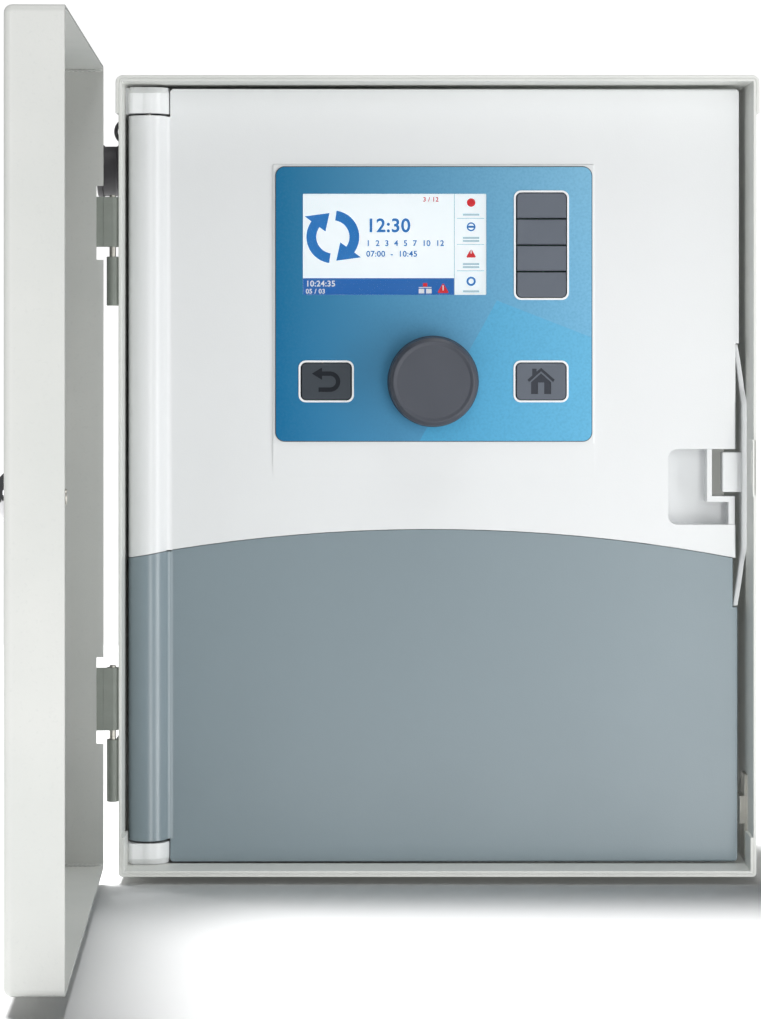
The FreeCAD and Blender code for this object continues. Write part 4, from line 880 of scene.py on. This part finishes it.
def pad_ramp():
    """Below the film its raised pad runs out into the cover's face."""
    top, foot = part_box("control_overlay")[0].z - 1.0 * MM, -1.0 * MM
    pad, under = UPPER_FACE - 0.7 * MM, UPPER_FACE + 0.3 * MM
    sides = [[(x, under, top), (x, pad, top), (x, UPPER_FACE, foot), (x, under, foot)]
             for x in (-82.5 * MM, 79.3 * MM)]

    def side_rim(edge):
        a, b = edge.verts
        return max(a.co.y, b.co.y) < UPPER_FACE - 1e-7 and abs(a.co.x - b.co.x) < 1e-6

    put("pad_ramp", soften(lofted(sides), 0.12 * MM, chosen=side_rim), "panel", "white_plastic")


def barrel_fillets():
    """Both covers' halves of the barrel run into the face through a hollow curve."""
    pivot = JOINTS["panel_hinge"]["pos_m"]
    barrel_r, curve_r = mm(9.85, 4.0)
    split, gap = mm(-38.0, 0.4)
    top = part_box("upper_cover")[1].z - 14.2 * MM
    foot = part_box("lower_cover")[0].z + 11.8 * MM
    for name, slot, skin, low, high in (
        ("upper_barrel_fillet", "white_plastic", UPPER_FACE, split + gap, top),
        ("lower_barrel_fillet", "grey_plastic", LOWER_FACE, foot, split - gap),
    ):
        centre_y = skin - curve_r
        centre_x = pivot[0] + math.sqrt((barrel_r + curve_r) ** 2 - (centre_y - pivot[1]) ** 2)
        start = math.atan2(pivot[1] - centre_y, pivot[0] - centre_x)
        hollow = arc(centre_x, centre_y, curve_r, [start + (math.pi / 2 - start) * k / 10 for k in range(11)])
        behind = skin + 0.4 * MM
        left = hollow[0][0] - 1.0 * MM
        outline = [(left, behind), (left, hollow[0][1] + 0.6 * MM), *hollow, (centre_x, behind)]
        put(name, extruded(outline, low, high), "panel", slot)


KEY_GROUPS = (("soft_key_1", "soft_key_2", "soft_key_3", "soft_key_4"), ("back_key",), ("home_key",))
KEY_GAP = 0.35 * MM
KEY_FLANGE = 1.0 * MM


def key_box(key):
    """A key's cap without the flanges that hold it in."""
    low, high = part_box(key)
    return wider((low.x, high.x), -(KEY_FLANGE + KEY_GAP)), (low.z, high.z)


def key_opening(keys):
    """The room in the film round one key or a column of them."""
    boxes = [key_box(key) for key in keys]
    column = min(z[0] for _, z in boxes), max(z[1] for _, z in boxes)
    return wider(boxes[0][0], KEY_GAP), wider(column, KEY_GAP)


def overlay():
    """The printed film with its windows, over a thin dark rim that is a painted shadow along the film's edge.
    """
    low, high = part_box("control_overlay")
    knob = middle("knob")
    windows = [framed(*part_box("display_lens"), 0.0, 0.5 * MM, 3)]
    windows += [rounded(*key_opening(keys), 2.6 * MM) for keys in KEY_GROUPS]
    windows.append(ring(knob.x, knob.z, 4.7 * MM, 48))
    film = plate([framed(low, high, 0.0, 4.4 * MM, 8), *windows], high.y, low.y, 0.12 * MM)
    put("overlay_film_sheet", film, "panel", "overlay_film", replaces=["control_overlay"])
    # A dark rim a little wider than the film, standing in as painted shadow along its edge.
    out = 0.4 * MM
    outlines = [framed(low, high, out, 4.8 * MM, 8), framed(low, high, -out / 4, 4.3 * MM, 8)]
    edge = plate(outlines, high.y, low.y + 0.35 * MM, 0.1 * MM)
    put("overlay_edge", edge, "panel", "overlay_film", look="film_edge_painted_shadow")


def key_bezels():
    """White frames round the keys."""
    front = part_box("key_bezels")[0].y
    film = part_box("control_overlay")[0].y
    wide = 1.0 * MM
    frames = []
    for keys in KEY_GROUPS:
        x, z = key_opening(keys)
        outer = rounded(wider(x, wide), wider(z, wide), 3.6 * MM)
        frames.append(plate([outer, rounded(x, z, 2.8 * MM)], film, front, 0.12 * MM))
    stand_for("key_bezels", joined(*frames))


def house(x, z, size):
    """Outlines of a house: a roof with a chimney, and walls with a doorway."""
    roof = ((-0.62, 0.02), (-0.54, -0.08), (0.0, 0.40), (0.54, -0.08), (0.62, 0.02), (0.0, 0.56),
            (-0.20, 0.39), (-0.20, 0.52), (-0.40, 0.52), (-0.40, 0.21))
    walls = ((-0.45, -0.62), (-0.14, -0.62), (-0.14, -0.10), (0.14, -0.10), (0.14, -0.62),
             (0.45, -0.62), (0.45, -0.09), (0.0, 0.31), (-0.45, -0.09))
    return [[(x + across * size, z + up * size) for across, up in part] for part in (roof, walls)]


def return_arrow(x, z, size):
    """Outline of an arrow that turns back on itself."""
    reach, half, barb = 0.36 * size, 0.10 * size, 0.28 * size
    bend_x, bend_z = x + 0.12 * size, z - 0.10 * size
    tail_x, neck_x, tip_x = x - 0.40 * size, x - 0.24 * size, x - 0.70 * size
    top_z, low_z = bend_z + reach, bend_z - reach
    turns = [math.radians(angle) for angle in range(-90, 91, 10)]
    outer = arc(bend_x, bend_z, reach + half, turns)
    inner = arc(bend_x, bend_z, reach - half, turns[::-1])
    head = [(neck_x, top_z + half), (neck_x, top_z + barb), (tip_x, top_z), (neck_x, top_z - barb),
            (neck_x, top_z - half)]
    return [[(tail_x, low_z - half), *outer, *head, *inner, (tail_x, low_z + half)]]


def key_shape(key, corners):
    """A key's outline, its depths, and the flange that holds it in."""
    low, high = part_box(key)
    show_gap = 0.2 * MM
    x, z = key_box(key)
    outline = rounded(wider(x, -show_gap), z, corners)
    flange_front = high.y - 1.0 * MM
    flange = plate([rounded((low.x, high.x), z, 0.5 * MM, 2)], high.y, flange_front, 0.15 * MM, 1)
    return outline, flange_front, low.y, flange


def soft_keys():
    """A column of plain caps, rounded only at its ends."""
    end_r, joint_r = mm(2.3, 0.35)
    column = KEY_GROUPS[0]
    for key in column:
        top_r = end_r if key == column[0] else joint_r
        low_r = end_r if key == column[-1] else joint_r
        outline, back, front, flange = key_shape(key, [low_r, low_r, top_r, top_r])
        stem = plate([outline], back, front, 0.45 * MM, 3)
        put(f"{key}_cap", joined(stem, flange), key, "key_rubber", replaces=[key])


def symbol_key(key, symbol, cap_look, ink):
    """A cap with a symbol sunk in its face."""
    sunk, layer = mm(0.35, 0.8)
    outline, back, front, flange = key_shape(key, 2.3 * MM)
    stem = plate([outline], back, front + layer, 0.05 * MM, 1)
    cutters = [plate([points], front + sunk, front - 1.0 * MM, 0.01 * MM, 1) for points in symbol]
    face = cut_out(plate([outline], front + layer, front, 0.38 * MM, 4), cutters)
    put(f"{key}_cap", joined(stem, flange, face), key, "key_rubber", cap_look, replaces=[key])
    floor = [plate([points], front + sunk + 0.06 * MM, front + sunk - 0.04 * MM, 0.01 * MM, 1)
             for points in symbol]
    put(f"{key}_symbol", joined(*floor), key, "key_rubber", ink)


def keys():
    soft_keys()
    size = 11.2 * MM
    back, home = middle("back_key"), middle("home_key")
    symbol_key("back_key", return_arrow(back.x + 0.6 * MM, back.z + 1.0 * MM, size), "dark_key",
               "dark_key_icon")
    symbol_key("home_key", house(home.x, home.z + 0.6 * MM, size), None, "key_icon")


def knob():
    """A big satin knob: flared skirt, gently tapered side, round shoulder and a faintly dished face."""
    low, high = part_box("knob")
    centre = (low + high) / 2
    radius, tall = high.x - centre.x, high.y - low.y
    hollow, deep, dish = mm(7.6, 3.0, 0.5)
    face_r = radius - 2.9 * MM
    profile = filleted([
        (0, deep), (hollow, deep), (hollow, 0), (radius, 0), (radius, 1.2 * MM),
        (radius - 0.5 * MM, 2.2 * MM), (radius - 0.8 * MM, tall - 2.0 * MM), (face_r, tall),
        (face_r - 1.8 * MM, tall - dish), (0, tall - dish),
    ], mm(0, 0.3, 0.3, 0.5, 0.6, 0.8, 1.9, 0.8, 1.4, 0), 8)
    stand_for("knob", turned(profile, 160), placement=facing_front(centre.x, high.y, centre.z))


def latch():
    """Springy bow, finger tab and hook. The bow curves in and back behind the panel's edge at both ends."""
    low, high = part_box("latch")
    thick, straight, end = 2.7 * MM, 36.0 * MM, high.z
    sunk, back = mm(-109.9, -105.0)
    count = 60
    rings = []
    for z in (-end + 2 * end * step / count for step in range(count + 1)):
        past = max(0.0, abs(z) - straight)
        x_out = high.x - 4.0 * MM * (past / (end - straight)) ** 1.35
        drop = min(1.0, past / (9.0 * MM))
        front = low.y + (sunk - low.y) * drop * drop * (3 - 2 * drop)
        corners = [(x_out - thick, back), (x_out - thick, front), (x_out, front), (x_out, back)]
        rings.append([(x, y, z) for x, y in filleted(corners, mm(0.3, 0.8, 0.8, 0.3), 3)])
    tab_x, tab_z = (low.x, high.x - thick + 0.4 * MM), (-8.4 * MM, 11.7 * MM)
    tab = block(tab_x, (UPPER_FACE - 0.6 * MM, back), tab_z, 0.7 * MM, 3)
    hook = block((150.0 * MM, 155.7 * MM), (back - 0.3 * MM, high.y), (-6.0 * MM, 6.0 * MM), 0.5 * MM)
    stand_for("latch", joined(lofted(rings), tab, hook), sharp=50)


# ---------------------------------------------------------------- screen

def circle_arrow(x, z, radius, thick, start, sweep):
    """Outline of a thick arc that ends in an arrowhead."""
    steps = 24
    angles = [math.radians(start + sweep * k / steps) for k in range(steps + 1)]
    last = angles[-1]
    tip = last + math.copysign(math.radians(46), sweep)
    outer, inner = arc(x, z, radius + thick / 2, angles), arc(x, z, radius - thick / 2, angles[::-1])
    head = [*arc(x, z, radius + thick * 1.35, [last]), *arc(x, z, radius * 1.12, [tip]),
            *arc(x, z, radius - thick * 1.25, [last])]
    return [*outer, *head, *inner]


def numerals(text, x, z, tall, front, depth):
    """Raised numerals with the foot of the first at (x, z)."""
    curve = bpy.data.curves.new("numerals", "FONT")
    curve.body = text
    curve.size = tall / 0.72
    curve.space_character = 1.06
    curve.extrude = depth / 2
    curve.offset = 0.03 * tall
    bm = stood_up(curve, (x, front + depth / 2, z), 1e-7)
    bmesh.ops.recalc_face_normals(bm, faces=bm.faces)
    return bm


def triangle(x, z, size):
    half, rise = size / 2, size * 0.43
    return filleted([(x - half, z - rise), (x + half, z - rise), (x, z + rise)], size * 0.08, 2)


def screen():
    """A lit display: circling arrows and numerals on the left, four small symbols beside the soft keys."""
    lens_low, lens_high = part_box("display_lens")
    case_low, case_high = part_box("display_panel")
    wide, tall = lens_high.x - lens_low.x, lens_high.z - lens_low.z
    face = lens_high.y + 0.1 * MM
    case_front, inset, depth = mm(-110.9, 0.05, 0.03)
    case = block((case_low.x, case_high.x), (case_front, case_high.y), (case_low.z, case_high.z), 0.4 * MM)
    put("display_case", case, "panel", "dark_plastic")
    ground = framed(lens_low, lens_high, -inset, 0.3 * MM, 3)
    glow = plate([ground], case_front - 0.1 * MM, face, 0.03 * MM, 1)
    put("display_face", glow, "panel", "display_module", replaces=["display_panel"])

    def at(across, down):
        return lens_low.x + across * wide, lens_high.z - down * tall

    def bar(across, down, length, height):
        """A rectangle by its lower left corner. Everything is a share of the screen's own size."""
        x, z = at(across, down)
        right, top = x + wide * length, z + tall * height
        return [(x, z), (right, z), (right, top), (x, top)]

    def hoop(across, down, outer, inner):
        return [ring(*at(across, down), tall * outer), ring(*at(across, down), tall * inner)]

    def show(name, outlines, ink, level=1):
        """Raised shapes of one ink. An outline with holes is a list of outlines."""
        front = face - depth * level
        groups = [group if isinstance(group[0], list) else [group] for group in outlines]
        solids = [plate(group, front + depth * 0.9, front, 0.002 * MM, 1) for group in groups]
        put(f"display_{name}", joined(*solids), "panel", "display_module", look=ink)

    split, column = 0.825, 0.918
    x, z = at(0.0, 1.0)
    x, z, right, top = x + inset, z + inset, x + inset + wide * split, z + inset + tall * 0.165
    show("status_bar", [[(x, z), (right, z), (right, top), (x, top)]], "ink_bar")
    arrows = [circle_arrow(*at(0.163, 0.425), tall * 0.213, tall * 0.098, start, -118) for start in (82, 262)]
    show("cycle", arrows, "ink_blue")
    for name, text, across, down, size, ink, level in (
        ("heading", "12:30", 0.345, 0.375, 0.135, "ink_blue", 1),
        ("line_one", "1  2  3  4  5  7  10  12", 0.345, 0.515, 0.058, "ink_blue", 1),
        ("line_two", "07:00  -  10:45", 0.345, 0.620, 0.058, "ink_blue", 1),
        ("flag", "3 / 12", 0.655, 0.075, 0.045, "ink_red", 1),
        ("clock", "10:24:35", 0.015, 0.915, 0.058, "ink_white", 2),
        ("date", "05 / 03", 0.015, 0.985, 0.046, "ink_white", 2),
    ):
        lettering = numerals(text, *at(across, down), tall * size, face - depth * level, depth * 0.9)
        put(f"display_{name}", lettering, "panel", "display_module", look=ink)
    rule = 0.004
    dividers = [bar(split, 1.0 - 1e-3, rule, 0.998)]
    dividers += [bar(split + 0.015, down, 0.15, rule * wide / tall) for down in (0.245, 0.505, 0.765)]
    show("dividers", dividers, "ink_pale")
    show("stop_dot", [ring(*at(column, 0.085), tall * 0.042)], "ink_red")
    bypass = [hoop(column, 0.325, 0.044, 0.030), bar(column - 0.017, 0.335, 0.034, 0.02)]
    show("bypass_ring", bypass, "ink_blue")
    show("alert", [triangle(*at(column, 0.585), tall * 0.105)], "ink_red")
    show("alert_mark", [bar(column - 0.003, 0.590, 0.006, 0.04)], "ink_white", 2)
    show("ring", [hoop(column, 0.865, 0.046, 0.026)], "ink_blue")
    captions = [bar(column - 0.045, down, 0.09, 0.02) for down in (0.215, 0.445, 0.475, 0.705, 0.735, 0.975)]
    show("captions", captions, "ink_pale")
    show("net_box", [bar(0.655, 0.918, 0.024, 0.036)], "ink_red", 2)
    nets = [bar(0.632, 0.985, 0.030, 0.045), bar(0.672, 0.985, 0.030, 0.045), bar(0.632, 0.930, 0.070, 0.008)]
    show("net", nets, "ink_white", 2)
    show("bar_alert", [triangle(*at(0.765, 0.93), tall * 0.12)], "ink_red", 2)
    show("bar_alert_mark", [bar(0.762, 0.955, 0.006, 0.05)], "ink_white", 3)


# ---------------------------------------------------------------- electronics inside

def output_modules():
    """Plug-in modules with a finger ridge and a row of lamps each, over terminal strips with wire ways."""
    low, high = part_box("output_modules")
    strip_low, strip_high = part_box("terminal_strips")
    count, ways, wide = 4, 6, 46.5 * MM
    pitch, way_pitch = (high.x - low.x - wide) / (count - 1), 7.5 * MM
    cell = (wide - 4 * MM) / ways
    bulb = filleted([(0, 0), (1.0 * MM, 0), (1.0 * MM, 0.45 * MM), (0, 0.45 * MM)], mm(0, 0, 0.35, 0), 4)
    well_half, well_y = 2.6 * MM, (strip_low.y + 4 * MM, strip_low.y - 1 * MM)
    well_z = (strip_low.z + 0.9 * MM, strip_low.z + 3.6 * MM)
    lamps, cases, strips = [], [], []
    for left in (low.x + index * pitch for index in range(count)):
        x, ridge_x = (left, left + wide), (left + 3 * MM, left + wide - 3 * MM)
        cases.append(plate([rounded(x, (low.z, high.z), 1.2 * MM, 4)], high.y, low.y + 1.2 * MM, 0.5 * MM))
        ridge = rounded(ridge_x, (strip_high.z + 3 * MM, high.z - 3 * MM), 2.0 * MM, 4)
        cases.append(plate([ridge], low.y + 1.3 * MM, low.y, 0.4 * MM))
        for way in range(ways):
            seat = facing_front(left + 2 * MM + cell * (way + 0.5), low.y + 0.4 * MM, strip_high.z + 7 * MM)
            lamps.append(moved(turned(bulb, 24), seat))
        strip = rounded(x, (strip_low.z, strip_high.z), 0.8 * MM, 3)
        centres = [left + wide / 2 + (way - 2.5) * way_pitch for way in range(ways)]
        wells = [block(about(centre, well_half), well_y, well_z, 0.2 * MM, 1) for centre in centres]
        strips.append(cut_out(plate([strip], strip_high.y, strip_low.y, 0.4 * MM), wells))
    stand_for("output_modules", joined(*cases))
    put("module_lamps", joined(*lamps), "cabinet", "terminal_plastic")
    stand_for("terminal_strips", joined(*strips))


def capacitor(x, face, z, radius, tall):
    """A round capacitor standing out from a board: its sleeve, and its bare top with a cross-shaped vent."""
    neck, lip = 0.8 * radius, tall - 0.3 * MM
    sleeve = turned(filleted([
        (0, 0), (radius, 0), (radius, 0.1 * tall), (0.92 * radius, 0.13 * tall), (radius, 0.16 * tall),
        (radius, tall), (neck, tall), (neck, lip), (0, lip),
    ], mm(0, 0.2, 0.3, 0.3, 0.3, 0.7, 0.2, 0, 0), 3), 40)
    top_r, low, high = 0.84 * radius, tall - 0.6 * MM, tall - 0.05 * MM
    arm, slot, depth = (-0.6 * radius, 0.6 * radius), (-0.25 * MM, 0.25 * MM), (tall - 0.2 * MM, tall)
    vents = [block(*sides, depth, 0.05 * MM, 1) for sides in ((arm, slot), (slot, arm))]
    top = cut_out(turned([(0, low), (top_r, low), (top_r, high), (0, high)], 40), vents)
    return [moved(part, facing_front(x, face, z)) for part in (sleeve, top)]


def chip(x, face, z, wide, tall):
    """A moulded chip lying on a board, and its two rows of legs."""
    case = block(about(x, wide / 2), (face - 2.2 * MM, face - 0.3 * MM), about(z, tall / 2), 0.25 * MM)
    count, pitch, half = int(wide / (1.6 * MM)), 1.5 * MM, 0.25 * MM
    legs = []
    for leg_x in (x + (k - (count - 1) / 2) * pitch for k in range(count)):
        for side in (-1, 1):
            reach = (z + side * (tall / 2 - 0.3 * MM), z + side * (tall / 2 + 1.1 * MM))
            legs.append(block(about(leg_x, half), (face - 1.0 * MM, face - 0.05 * MM), reach, 0.08 * MM, 1))
    return case, legs


def power_parts():
    """Relays, capacitors and a fuse holder on the power board."""
    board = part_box("power_board")[0]
    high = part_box("power_components")[1]
    face = high.y
    relay, relay_tall, relay_deep, relay_pitch = mm(16.0, 20.0, 15.0, 22.0)
    dark, bare = [], []
    for x in (board.x + 8.0 * MM + relay_pitch * k for k in range(3)):
        dark.append(block((x, x + relay), (face - relay_deep, face), (high.z - relay_tall, high.z),
                          0.9 * MM, 3))
        dark.append(block((x + 2 * MM, x + relay - 2 * MM), (face - relay_deep - 0.3 * MM, face - 14.5 * MM),
                          (high.z - relay_tall + 2 * MM, high.z - 2 * MM), 0.25 * MM))
    for x in (board.x + (16.0 + 20.0 * k) * MM for k in range(4)):
        sleeve, top = capacitor(x, face, board.z + 16.0 * MM, 6.0 * MM, 21.9 * MM)
        dark.append(sleeve)
        bare.append(top)
    holder_x, holder_z = (high.x - 24.0 * MM, high.x), (high.z - 13.0 * MM, high.z - 3.0 * MM)
    dark.append(block(holder_x, (face - 7.0 * MM, face), holder_z, 0.6 * MM))
    fuse_r, fuse = mm(2.4, 19.0)
    profile = filleted([(0, 0), (fuse_r, 0), (fuse_r, fuse), (0, fuse)], mm(0, 0.3, 0.3, 0), 2)
    seat = Matrix.Translation((holder_x[0] + 2.5 * MM, face - 7.6 * MM, sum(holder_z) / 2))
    bare.append(moved(turned(profile, 24), seat @ Matrix.Rotation(math.pi / 2, 4, "Y")))
    stand_for("power_components", joined(*dark))
    put("power_tops", joined(*bare), "cabinet", "bare_aluminium")


def backplane_parts():
    """What the backplane carries above the modules: a ribbon header, chips and small capacitors."""
    low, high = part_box("backplane_board")
    face, row = low.y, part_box("output_modules")[1].z
    free = high.z - row
    centre = (low.x + high.x) / 2

    def header_box(half, front, back, top, foot, edge, steps):
        """A box centred on the board, by its depths in front of it and its places below its top edge."""
        return block(about(centre, half * MM), (face - front * MM, face - back * MM),
                     (high.z - foot * MM, high.z - top * MM), edge * MM, steps)

    header = cut_out(header_box(28, 9, 0, 8, 17, 0.5, 2), [header_box(26, 10, 2, 9.5, 15.5, 0.2, 1)])
    half, pin_y = 0.35 * MM, (face - 7.5 * MM, face - 1.5 * MM)
    pins = [block(about(centre + across * MM, half), pin_y, about(high.z - down * MM, half), 0.1 * MM, 1)
            for across in range(-24, 25, 3) for down in (11.2, 13.8)]
    dark, bare = [], pins
    for across, up, wide, tall in (
        (-62, 0.62, 16, 8), (62, 0.62, 16, 8), (0, 0.38, 22, 10), (-36, 0.30, 10, 6), (36, 0.30, 10, 6),
    ):
        case, legs = chip(centre + across * MM, face, row + up * free, wide * MM, tall * MM)
        dark.append(case)
        bare += legs
    for across in (-80, -68, 68, 80):
        sleeve, top = capacitor(centre + across * MM, face, row + 0.26 * free, 3.6 * MM, 8.5 * MM)
        dark.append(sleeve)
        bare.append(top)
    put("backplane_chips", joined(*dark), "cabinet", "dark_plastic")
    put("backplane_header", header, "cabinet", "white_print")
    put("backplane_pins", joined(*bare), "cabinet", "plated_steel")


def rear_cover():
    """The panel's rear box, with two columns of vent slots."""
    low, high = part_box("rear_cover")
    half_wide, half_tall = mm(22, 1.6)
    slots = []
    for z in (low.z + (0.2 + 0.1 * row) * (high.z - low.z) for row in range(7)):
        for x in ((low.x + high.x) / 2 + side * 42.0 * MM for side in (-1, 1)):
            slot = rounded(about(x, half_wide), about(z, half_tall), 1.5 * MM, 5)
            slots.append(plate([slot], high.y + 1 * MM, high.y - 3 * MM, 0.1 * MM, 1))
    stand_for("rear_cover", cut_out(soften(from_node("rear_cover"), 0.8 * MM, 3), slots))


# ---------------------------------------------------------------- stage

def camera():
    data = bpy.data.cameras.new("view")
    data.sensor_width = 36.0
    data.lens = 116.6
    data.shift_y = -0.178
    data.clip_start, data.clip_end = 0.01, 50.0
    view = added("view", data)
    view.location = (-0.0283, -1.779, 0.0743)
    view.rotation_euler = (math.radians(90), 0, 0)
    bpy.context.scene.camera = view


def stage():
    """A pale floor just under the model."""
    bm = bmesh.new()
    bmesh.ops.create_grid(bm, x_segments=8, y_segments=8, size=1.1)
    mesh = mesh_of(bm, "floor")
    mesh.materials.append(stage_floor().material)
    floor = added("floor", mesh)
    floor.location.z = cad_low.z - 0.001
    return floor


def studio_world():
    """White behind everything, with only a faint light from all round."""
    world = bpy.data.worlds.new("studio")
    world.use_nodes = True
    bpy.context.scene.world = world
    nodes, links = world.node_tree.nodes, world.node_tree.links
    seen, lit = nodes["Background"], nodes.new("ShaderNodeBackground")
    seen.inputs["Color"].default_value = (1, 1, 1, 1)
    seen.inputs["Strength"].default_value = 1.05
    lit.inputs["Color"].default_value = (0.97, 0.985, 1.0, 1)
    lit.inputs["Strength"].default_value = 0.1
    mixer = nodes.new("ShaderNodeMixShader")
    rays = nodes.new("ShaderNodeLightPath")
    links.new(rays.outputs["Is Camera Ray"], mixer.inputs[0])
    links.new(lit.outputs[0], mixer.inputs[1])
    links.new(seen.outputs[0], mixer.inputs[2])
    links.new(mixer.outputs[0], nodes["World Output"].inputs["Surface"])
    bpy.context.scene.view_settings.view_transform = "Standard"


def chosen(name, state, *pieces):
    """A light's list of what it lights, or of what it leaves out."""
    group = bpy.data.collections.new(name)
    for piece in pieces:
        group.objects.link(piece)
    for entry in group.collection_objects:
        entry.light_linking.link_state = state
    return group


def lights(floor):
    """Soft lights, each told what it lights and what shades it."""
    # The floor has a light of its own from above: it stays white, with a dark shadow by the cabinet.
    # The key and side lights would bleach the door's inside, so its front edge has its own light too.
    door = bpy.data.objects["door_pan_shape"]
    all_but_floor = chosen("all_but_floor", "EXCLUDE", floor)
    all_but_door = chosen("all_but_door", "EXCLUDE", floor, door)
    floor_only = chosen("floor_only", "INCLUDE", floor)
    door_only = chosen("door_only", "INCLUDE", door)
    # The side light passes through the cabinet's wall, which would shade the panel's right edge.
    cabinet = [piece for piece in bpy.data.objects
               if piece.get("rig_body") == "cabinet" and not piece.get("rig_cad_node")]
    past_cabinet = chosen("past_cabinet", "EXCLUDE", floor, *cabinet)
    lit_by = {"floor_light": floor_only, "door_front": door_only, "key": all_but_door, "side": all_but_door}

    for name, place, aim, size, spread, power, colour in (
        ("key", (0.62, -2.3, -0.2), (0.05, -0.12, 0.0), (0.42, 1.6), 140, 6.8, (1.0, 0.995, 0.985)),
        ("side", (1.05, -0.75, -0.05), (-0.1, -0.12, 0), (0.34, 1.4), 140, 5.0, (1.0, 1.0, 1.0)),
        ("front", (-0.2, -2.5, 0.9), (0, -0.12, 0), (1.0, 0.9), 140, 5.2, (0.98, 0.99, 1.0)),
        ("door_front", (-0.75, -2.4, 0.3), (-0.17, -0.45, 0), (0.5, 1.0), 140, 10.0, (1.0, 1.0, 1.0)),
        ("top", (0.4, -0.45, 2.2), (0, -0.15, 0), (1.6, 1.0), 140, 13.0, (1.0, 1.0, 1.0)),
        ("floor_light", (-0.57, 0.7, 3.98), (-0.1, -0.15, -0.2), (1.14, 1.18), 120, 125.0, (1.0, 1.0, 1.0)),
    ):
        data = bpy.data.lights.new(name, "AREA")
        data.shape = "RECTANGLE"
        data.size, data.size_y = size
        data.spread = math.radians(spread)
        data.energy = power
        data.color = colour
        lamp = added(name, data)
        lamp.location = place
        lamp.rotation_euler = (Vector(aim) - Vector(place)).to_track_quat("-Z", "Y").to_euler()
        lamp.light_linking.receiver_collection = lit_by.get(name, all_but_floor)
        if name != "floor_light":
            lamp.light_linking.blocker_collection = past_cabinet if name == "side" else all_but_floor


# ---------------------------------------------------------------- everything

def build():
    cabinet_shell()
    drip_hood()
    pivot_block("pivot_block_top", True)
    pivot_block("pivot_block_bottom", False)
    dust_cap()
    cap_tether()
    conduit_plugs()
    door_pan()
    lock()
    # The hinge leaves take the darker painted-shade look.
    softened("cabinet_hinge_leaves", look="hinge_painted_shade")
    softened("door_hinge_leaves", look="hinge_painted_shade")
    covers()
    pad_ramp()
    barrel_fillets()
    overlay()
    key_bezels()
    keys()
    knob()
    latch()
    screen()
    output_modules()
    power_parts()
    backplane_parts()
    rear_cover()
    stood_for = {node for piece in bpy.data.objects for node in piece.get("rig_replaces", [])}
    for node in sorted(frame["nodes"]):
        if node not in stood_for:
            softened(node)
    camera()
    studio_world()
    lights(stage())


build()
